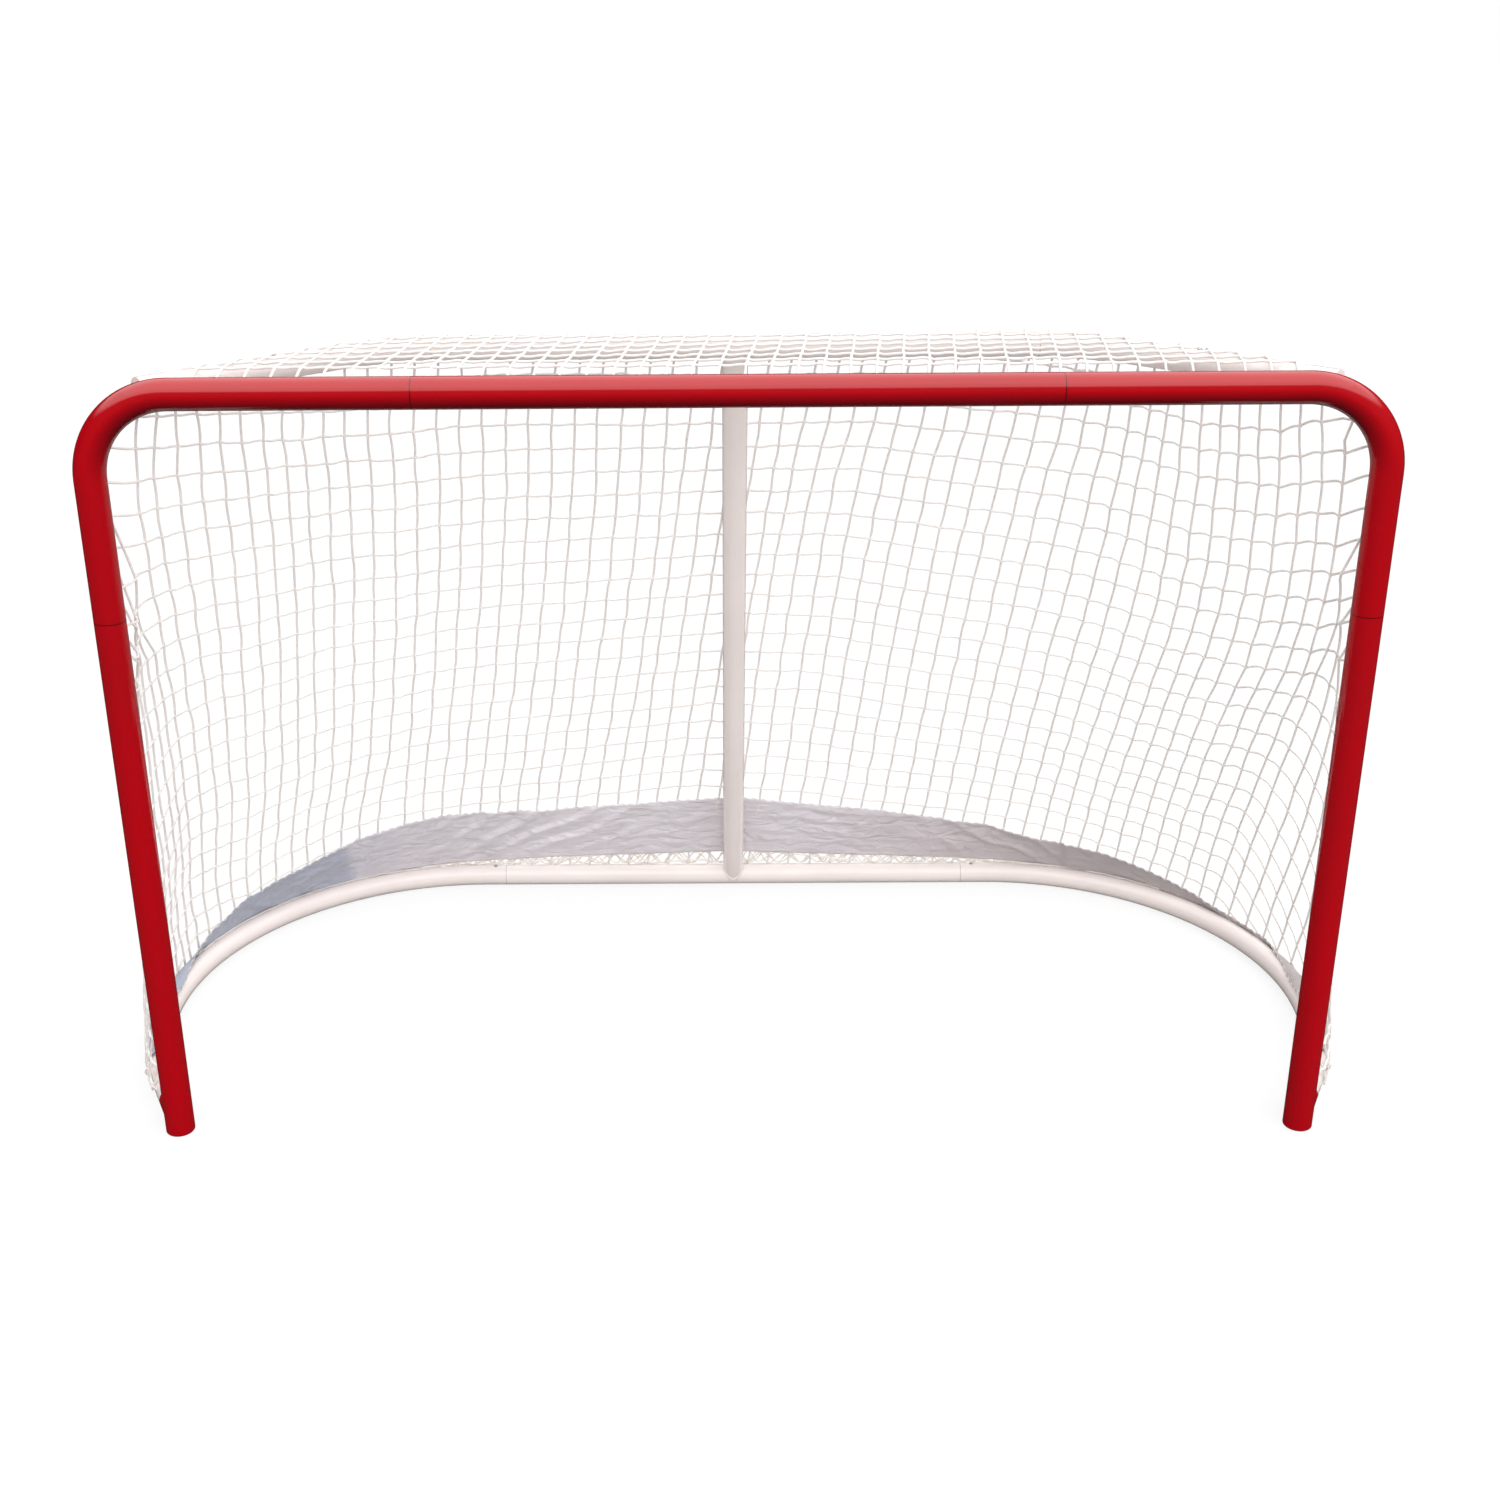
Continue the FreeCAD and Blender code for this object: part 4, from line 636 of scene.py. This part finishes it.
def twine_tree():
    """Geometry nodes that turn a net's edges into round twine and put a knot on each marked point."""
    tree = bpy.data.node_groups.new("twine_and_knots", "GeometryNodeTree")
    tree.is_modifier = True
    for name, kind in (("Geometry", "NodeSocketGeometry"), ("Twine Radius", "NodeSocketFloat"),
                       ("Knot Radius", "NodeSocketFloat"), ("Twine", "NodeSocketMaterial")):
        tree.interface.new_socket(name, in_out="INPUT", socket_type=kind)
    tree.interface.new_socket("Geometry", in_out="OUTPUT", socket_type="NodeSocketGeometry")
    given = add_node(tree, "NodeGroupInput")
    line = add_node(tree, "GeometryNodeMeshToCurve", {"Mesh": (given, "Geometry")})
    run = add_node(tree, "GeometryNodeSplineParameter")
    measured = add_node(tree, "GeometryNodeStoreNamedAttribute",
                        {"Geometry": (line, 0), "Name": "along", "Value": (run, "Length")},
                        data_type="FLOAT", domain="POINT")
    ring = add_node(tree, "GeometryNodeCurvePrimitiveCircle",
                    {"Resolution": 8, "Radius": (given, "Twine Radius")})
    turn = add_node(tree, "GeometryNodeSplineParameter")
    marked = add_node(tree, "GeometryNodeStoreNamedAttribute",
                      {"Geometry": (ring, 0), "Name": "around", "Value": (turn, "Factor")},
                      data_type="FLOAT", domain="POINT")
    tube = add_node(tree, "GeometryNodeCurveToMesh", {"Curve": (measured, 0), "Profile Curve": (marked, 0),
                                                      "Fill Caps": True})
    ball = add_node(tree, "GeometryNodeMeshIcoSphere", {"Radius": (given, "Knot Radius"), "Subdivisions": 2})
    flat = add_node(tree, "GeometryNodeTransform", {"Geometry": (ball, 0), "Scale": (1.12, 0.80, 0.98)})
    mark = add_node(tree, "GeometryNodeInputNamedAttribute", {"Name": "knot"}, data_type="FLOAT")
    chosen = add_node(tree, "ShaderNodeMath", {0: (mark, 0), 1: 0.5}, operation="GREATER_THAN")
    tilt = add_node(tree, "FunctionNodeRandomValue",
                    {0: (-0.5, -0.5, -0.6), 1: (0.5, 0.5, 0.6), "Seed": 4}, data_type="FLOAT_VECTOR")
    swell = add_node(tree, "FunctionNodeRandomValue", {2: 0.88, 3: 1.12, "Seed": 9}, data_type="FLOAT")
    tied = add_node(tree, "GeometryNodeInstanceOnPoints",
                    {"Points": (given, "Geometry"), "Selection": (chosen, 0), "Instance": (flat, 0),
                     "Rotation": (tilt, 0), "Scale": (swell, 1)})
    real = add_node(tree, "GeometryNodeRealizeInstances", {0: (tied, 0)})
    both = add_node(tree, "GeometryNodeJoinGeometry", {0: (tube, 0)})
    tree.links.new(real.outputs[0], both.inputs[0])
    smooth = add_node(tree, "GeometryNodeSetShadeSmooth", {"Geometry": (both, 0)})
    dressed = add_node(tree, "GeometryNodeSetMaterial",
                       {"Geometry": (smooth, 0), "Material": (given, "Twine")})
    add_node(tree, "NodeGroupOutput", {0: (dressed, 0)})
    return tree


def netting_twine(name, light, dark, lay):
    """Two-ply polyester twine: matt off-white and a little soiled, with painted shade on the upright strands
    and in the groove of the lay.
    """
    made, tree, shader = surface(name, Roughness=0.80, IOR=1.5, Sheen_Weight=0.2, Sheen_Roughness=0.5)
    place = add_node(tree, "ShaderNodeTexCoord")
    along = add_node(tree, "ShaderNodeAttribute", attribute_name="along")
    around = add_node(tree, "ShaderNodeAttribute", attribute_name="around")
    upright = add_node(tree, "ShaderNodeAttribute", attribute_name="upright")
    turns = add_node(tree, "ShaderNodeMath", {0: (along, "Fac"), 1: 1 / lay, 2: (around, "Fac")},
                     operation="MULTIPLY_ADD")
    angle = add_node(tree, "ShaderNodeMath", {0: (turns, 0), 1: 4 * math.pi}, operation="MULTIPLY")
    groove = add_node(tree, "ShaderNodeMath", {0: (angle, 0)}, operation="SINE")
    soil = add_node(tree, "ShaderNodeTexNoise", {"Vector": (place, "Object"), "Scale": 9.0, "Detail": 4.0})
    # Painted shade: the upright strands and the groove of the lay come out darker, on top of the soil's
    # noise.
    shade = add_node(tree, "ShaderNodeMath", {0: (upright, "Fac"), 1: 0.22, 2: (soil, 0)},
                     operation="MULTIPLY_ADD")
    deep = add_node(tree, "ShaderNodeMath", {0: (groove, 0), 1: 0.12, 2: (shade, 0)},
                    operation="MULTIPLY_ADD")
    tone = add_node(tree, "ShaderNodeMapRange", {0: (deep, 0), 1: 0.25, 2: 1.15, 3: 0.0, 4: 1.0})
    colour = add_node(tree, "ShaderNodeMix", {0: (tone, 0), 6: linear(light), 7: linear(dark)},
                      data_type="RGBA")
    tree.links.new(colour.outputs[2], shader.inputs["Base Color"])
    bump = add_node(tree, "ShaderNodeBump", {"Strength": 0.5, "Distance": 0.0004, "Height": (groove, 0)})
    tree.links.new(bump.outputs[0], shader.inputs["Normal"])
    return made


twine = netting_twine("twisted_polyester_twine", "#FCF8F5", "#ECE7E4", 0.008)
twine_nodes = twine_tree()


def net_piece(name, knots, strands, spot, arch, taut, *replaced):
    piece = netting_mesh(name, knots, strands, spot, arch, taut)
    grown(piece, twine_nodes, Twine_Radius=TWINE_RADIUS, Knot_Radius=KNOT_RADIUS, Twine=twine)
    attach(piece, "goal_frame")
    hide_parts(*replaced)


def wall_arch(point):
    """How far a level strand bows up between its knots: on the right it is pushed up, and on the left it
    hangs."""
    return -0.0006 + 0.0040 * held((point.x - 0.25) / 0.35)


side_panels = ("post", "shoulder", "front", "middle", "rear")
for name, columns, replaced in (("left", range(-61, -14), [f"side_net_{p}_left" for p in side_panels]),
                                ("back", range(-14, 14), ["back_net"]),
                                ("right", range(14, 62), [f"side_net_{p}_right" for p in side_panels])):
    net_piece(f"wall_net_{name}", {key for key in wall_knots if key[0] in columns},
              [strand for strand in wall_strands if strand[0][0] in columns],
              wall_spot, wall_arch, True, *replaced)

# The roof of the net: the same netting, lying on the bow and the arms and drawn down in front to
# the cord behind the crossbar.
ROOF_PITCH, ROOF_SKEW, ROOF_FIRST = 0.0381, 0.10, 0.45
roof_outline = np.vstack([level_curve(BAR_Z)[0], (0, cord_y)])
roof_rear_y = shelf_middle.y + SHELF_BEND


def roof_reach(x, y):
    """Distance from a point of the roof to its outer edge over the bow and the arms."""
    ends = roof_outline[:-1]
    here = np.array([abs(x), y])
    way = ends[1:] - ends[:-1]
    share = np.clip(((here - ends[:-1]) * way).sum(1) / np.maximum((way ** 2).sum(1), 1e-12), 0, 1)
    return float(np.hypot(*(here - ends[:-1] - way * share[:, None]).T).min())


def on_roof(x, y):
    """Whether a point is inside the roof's outline."""
    inside = False
    for (ax, ay), (bx, by) in zip(roof_outline, np.roll(roof_outline, -1, 0)):
        if (ay > y) != (by > y) and abs(x) < (bx - ax) * (y - ay) / (by - ay) + ax:
            inside = not inside
    return inside


def roof_chart(column, row):
    y = roof_rear_y - ROOF_PITCH * (row - ROOF_FIRST)
    return ROOF_PITCH * column + ROOF_SKEW * (y - roof_rear_y), y


def roof_spot(key, other, share):
    """The roof lies on the tubes, rolls over their outer side and drops to the cord in front."""
    (x, y), (far_x, far_y) = roof_chart(*key), roof_chart(*other)
    x, y = x + (far_x - x) * share, y + (far_y - y) * share
    lift = SHELF_RADIUS + 0.0024
    beyond = max(0.0, lift - roof_reach(x, y))
    over = math.sqrt(max(lift ** 2 - beyond ** 2, 0.0))
    return Vector((x, y, BAR_Z + over * (0.12 + 0.88 * min(1.0, (y - cord_y) / 0.05))))


roof_knots, roof_strands = woven(range(-24, 25), range(-1, 10), roof_chart, on_roof, on_roof)
net_piece("roof_net_twine", set(roof_knots), roof_strands, roof_spot, lambda point: -0.0008, False,
          "roof_net")

# The skirt: a strip of thin woven nylon, sewn to the inside of the net along the floor tube. Its
# lower edge is tucked behind the tube at the sides and laps over it near the posts.
SKIRT_OUT, SKIRT_THICK = 0.0208, 0.0011
SKIRT_END, SKIRT_LAP, SKIRT_LAPPED = 1.560, 1.14, 1.33   # along the floor tube, from the middle
SKIRT_STEP, SKIRT_ROWS = 0.005, 26
SKIRT_TOP = [(-1.69, 0.052), (-1.30, 0.056), (-1.18, 0.062), (-1.06, 0.098), (-0.93, 0.120), (-0.83, 0.144),
             (-0.79, 0.165), (-0.72, 0.173), (-0.60, 0.190), (-0.44, 0.199), (0.0, 0.234), (0.30, 0.195),
             (0.53, 0.151), (0.645, 0.116), (0.69, 0.111), (0.72, 0.114), (0.79, 0.100), (0.99, 0.060),
             (1.08, 0.049), (1.69, 0.046)]
SKIRT_HEM = [(-1.69, 0.032), (-0.85, 0.034), (-0.70, 0.041), (-0.55, 0.051), (-0.36, 0.064), (0.0, 0.077),
             (0.20, 0.067), (0.48, 0.054), (0.62, 0.043), (0.78, 0.034), (1.69, 0.030)]


def soft_at(curve, value, reach):
    """The same line with its corners eased over a reach."""
    return (at(curve, value - reach) + 2 * at(curve, value) + at(curve, value + reach)) / 4


def hump(value, middle, width):
    return math.exp(-((value - middle) / width) ** 2)


def crest(turns):
    """A ridge with a soft and a steep side, which repeats once a turn."""
    turns += 0.12 * math.sin(2 * math.pi * turns)
    return (0.5 + 0.5 * math.sin(2 * math.pi * turns)) ** 1.8


def step_up(value, start, end):
    k = held((value - start) / (end - start))
    return k * k * (3 - 2 * k)


def wrinkle(along, rise, share):
    """How far the cloth stands in from the net, in metres."""
    rough = noise.noise(Vector((along * 7, rise * 16, 0.3)))
    pulled = crest((along - 1.75 * rise) / 0.092 + 0.55 * rough) * 0.0095 * hump(along, -0.42, 0.19)
    pulled += crest((along - 1.3 * rise) / 0.043 + 0.8 * rough) * 0.0022 * hump(along, -0.47, 0.22)
    slanted = crest((along + 2.0 * rise) / 0.125 + 0.7 * rough) * 0.0090 * hump(along, 0.56, 0.17)
    slanted += crest((along + 0.9 * rise) / 0.047 + 0.8 * rough) * 0.0022 * hump(along, 0.50, 0.24)
    ripple = crest(share * 4.3 + 0.8 * along + 0.5 * rough) * 0.0034 * hump(along, 0.18, 0.17)
    faint = crest(share * 5.0 + 0.4 * rough) * 0.0020 * hump(along, -0.12, 0.12)
    folds = 0.010 * step_up(along, 0.690, 0.704) * (1 - step_up(along, 0.712, 0.80))
    folds += 0.009 * step_up(along, -0.804, -0.790) * (1 - step_up(along, -0.78, -0.66))
    sides = 0.0060 * crest(along / 0.17 + 3.5 * rise + 1.1 * rough) * step_up(abs(along), 0.75, 0.95)
    small = 0.0014 * noise.noise(Vector((along * 55, rise * 70, 2.0)))
    small += 0.0007 * noise.noise(Vector((along * 150, rise * 150, 5.0)))
    return max(0.0, pulled + slanted + ripple + faint + folds + sides + small + 0.0004)


def wall_lean(along):
    """How far the net's wall leans in for each metre of height, over this place of the floor tube."""
    far = abs(along)
    angle = math.pi / 2 - max(0.0, far - base_bend_x) / BASE_REAR_BEND if far < rear_bend_end else 0.0
    outward = Vector((math.cos(angle), math.sin(angle)))
    top = in_plan(shelf_middle, SHELF_BEND, angle) if angle > SHELF_HEADING else ear_foot
    low = in_plan((base_bend_x, base_wide_y), BASE_REAR_BEND, angle)
    return (low - top).dot(outward) / (BAR_Z - BASE_Z)


def skirt_spot(along, share, flat=False):
    """A point of the cloth: share is 0 at its hem and 1 at its top."""
    hem, top = soft_at(SKIRT_HEM, along, 0.03), soft_at(SKIRT_TOP, along, 0.012)
    z = hem + (top - hem) * share
    out = SKIRT_OUT - (z - BASE_Z) * wall_lean(along)
    lapped = step_up(abs(along), SKIRT_LAP, SKIRT_LAPPED)
    turn = math.radians(38 + 88 * share)
    over = FRAME_RADIUS + 0.0022
    out += (over * math.cos(turn) - out) * lapped
    z += (BASE_Z + over * math.sin(turn) - z) * lapped
    if not flat:
        inwards = wrinkle(along, z - hem, share) * min(1.0, 0.35 + 2.0 * share)
        inwards *= 1 - step_up(0.075 - abs(along), 0.0, 0.03)
        out -= inwards * (1 - lapped)
        z += inwards * lapped
    return floor_line(along, out, z)


def sheet_mesh(name, columns, spot):
    """A grid of quads with a UV map in metres."""
    points = [spot(a, k / SKIRT_ROWS) for a in columns for k in range(SKIRT_ROWS + 1)]
    tall = SKIRT_ROWS + 1
    faces = [(c * tall + r, (c + 1) * tall + r, (c + 1) * tall + r + 1, c * tall + r + 1)
             for c in range(len(columns) - 1) for r in range(SKIRT_ROWS)]
    mesh = bpy.data.meshes.new(name)
    mesh.from_pydata(points, [], faces)
    mesh.shade_smooth()
    weave = mesh.uv_layers.new(name="weave")
    for loop in mesh.loops:
        c, r = divmod(loop.vertex_index, tall)
        foot = points[c * tall]
        weave.data[loop.index].uv = (columns[c], (points[loop.vertex_index] - foot).length)
    made = bpy.data.objects.new(name, mesh)
    scene.collection.objects.link(made)
    return made


def nylon(name):
    """Thin plain-woven nylon: a soft grey in painted shade, darker and cooler at the left end, lightest in
    the middle and darker and warmer at the right end, with a slight sheen and fine creases."""
    made, tree, shader = surface(name, Roughness=0.62, IOR=1.53, Sheen_Weight=0.35, Sheen_Roughness=0.4)
    place = add_node(tree, "ShaderNodeTexCoord")
    spot = add_node(tree, "ShaderNodeSeparateXYZ", {0: (place, "Object")})
    across = add_node(tree, "ShaderNodeMapRange", {0: (spot, "X"), 1: -1.0, 2: 1.0})
    # Painted shade across the cloth: darker and bluer at the left end with a sharp step to lighter near it,
    # lightest in the middle, and darker and browner towards the right end.
    painted_shade_ramp = add_node(tree, "ShaderNodeValToRGB", {0: (across, 0)})
    painted_shade_ramp.color_ramp.elements[0].color = linear("#ABB1C1")
    painted_shade_ramp.color_ramp.elements[1].color = linear("#B8AFAE")
    for where, colour in ((0.100, "#B4B8C8"), (0.110, "#DAD7E0"), (0.16, "#DED9E0"), (0.30, "#EDE7ED"),
                          (0.58, "#EAE4EA"), (0.70, "#DDD5DA"), (0.80, "#CCC3C5"), (0.89, "#BAB1B4")):
        painted_shade_ramp.color_ramp.elements.new(where).color = linear(colour)
    soil = add_node(tree, "ShaderNodeTexNoise", {"Vector": (place, "Object"), "Scale": 14.0, "Detail": 5.0})
    dusty = add_node(tree, "ShaderNodeMapRange", {0: (soil, 0), 1: 0.35, 2: 0.75, 3: 0.0, 4: 0.20})
    tone = add_node(tree, "ShaderNodeMix", {0: (dusty, 0), 6: (painted_shade_ramp, 0), 7: linear("#B4AEB4")},
                    data_type="RGBA")
    tree.links.new(tone.outputs[2], shader.inputs["Base Color"])
    thread = 0.0009                     # metres between threads, drawn coarser than the real 0.3 mm
    ways = []
    for axis in ("X", "Y"):
        part = add_node(tree, "ShaderNodeSeparateXYZ", {0: (place, "UV")})
        phase = add_node(tree, "ShaderNodeMath", {0: (part, axis), 1: 2 * math.pi / thread},
                         operation="MULTIPLY")
        ways.append(add_node(tree, "ShaderNodeMath", {0: (phase, 0)}, operation="SINE"))
    weave = add_node(tree, "ShaderNodeMath", {0: (ways[0], 0), 1: (ways[1], 0)}, operation="MULTIPLY")
    drawn = add_node(tree, "ShaderNodeVectorMath", {0: (place, "Object"), 1: (1.0, 1.0, 2.4)},
                     operation="MULTIPLY")
    creases = add_node(tree, "ShaderNodeTexNoise", {"Vector": (drawn, 0), "Scale": 18.0, "Detail": 4.0,
                                                    "Distortion": 0.9})
    crumpled = add_node(tree, "ShaderNodeBump", {"Strength": 1.0, "Distance": 0.010, "Height": (creases, 0)})
    bump = add_node(tree, "ShaderNodeBump", {"Strength": 0.25, "Distance": 0.0002, "Height": (weave, 0),
                                             "Normal": (crumpled, 0)})
    tree.links.new(bump.outputs[0], shader.inputs["Normal"])
    return made


skirt_columns = spread(-SKIRT_END, SKIRT_END, SKIRT_STEP)
pattern = sheet_mesh("skirt_pattern", skirt_columns, lambda along, share: skirt_spot(along, share, flat=True))
cut_height = max((skirt_spot(a, 1.0, flat=True) - skirt_spot(a, 0.0, flat=True)).length
                 for a in skirt_columns)
bpy.data.objects.remove(pattern)
skirt = sheet_mesh("skirt_cloth", skirt_columns, skirt_spot)
skirt.data.materials.append(nylon("woven_nylon_cloth"))
shell = skirt.modifiers.new("thickness", "SOLIDIFY")
shell.thickness = SKIRT_THICK
shell.offset = 0.0
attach(skirt, "goal_frame")
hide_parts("skirt")

# The skirt's stitching: one thread that whips its top edge to the meshes of the net.
WHIP_PITCH, WHIP_RADIUS, THREAD_RADIUS = 0.0192, 0.0017, 0.0007
whip = []
for along in spread(-SKIRT_END + 0.01, SKIRT_END - 0.01, WHIP_PITCH / 8):
    turn = 2 * math.pi * along / WHIP_PITCH
    aside = (floor_line(along, 1.0) - floor_line(along)).normalized()
    whip.append(skirt_spot(along, 1.0) + aside * WHIP_RADIUS * math.cos(turn)
                + Vector((0, 0, WHIP_RADIUS * math.sin(turn))))
thread = lines_object("skirt_stitching", [whip])
grown(thread, twine_nodes, Twine_Radius=THREAD_RADIUS, Knot_Radius=KNOT_RADIUS, Twine=cord_fibre)
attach(thread, "goal_frame")

# The surplus of the net: its last meshes are gathered in a flat bundle between the skirt and the
# floor tube, where the border cord ties them down. Beyond the skirt's middle it thins out on the tube.
BUNDLE_LEFT, BUNDLE_RIGHT, BUNDLE_STEP, BUNDLE_STRANDS = -1.20, 0.92, 0.005, 4
surplus = netting_twine("surplus_polyester_twine", "#FCF6EF", "#DDCFC2", 0.008)
bundle = []
for k in range(BUNDLE_STRANDS):
    line = []
    phase, wide = net_random.uniform(0, 2 * math.pi), net_random.uniform(0.040, 0.075)
    for along in spread(BUNDLE_LEFT + 0.015 * k, BUNDLE_RIGHT - 0.02 * k, BUNDLE_STEP):
        room = max(soft_at(SKIRT_HEM, along, 0.03) - 0.036, 0.0)
        thick = step_up(room, 0.004, 0.016)
        swing = math.sin(2 * math.pi * along / wide + phase + 3.6 * noise.noise(Vector((along * 9, k, 0))))
        swing = 0.5 + 0.5 * swing * (0.8 + 0.2 * noise.noise(Vector((along * 20, k, 4.0))))
        turn = math.radians(62 + 18 * swing + 6 * noise.noise(Vector((along * 30, k, 7.0))))
        over = FRAME_RADIUS + 0.0020
        laid = over * math.cos(turn), BASE_Z + over * math.sin(turn)
        stray = 0.0020 * noise.noise(Vector((along * 25, k, 9.0)))
        hung = 0.0172 - 0.35 * room * swing + stray, 0.0355 + room * swing
        out, z = (a + (b - a) * thick for a, b in zip(laid, hung))
        line.append(floor_line(along, out, z))
    bundle.append(line)
gathered = lines_object("net_bundle", bundle)
grown(gathered, twine_nodes, Twine_Radius=TWINE_RADIUS * 0.62, Knot_Radius=KNOT_RADIUS, Twine=surplus)
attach(gathered, "goal_frame")
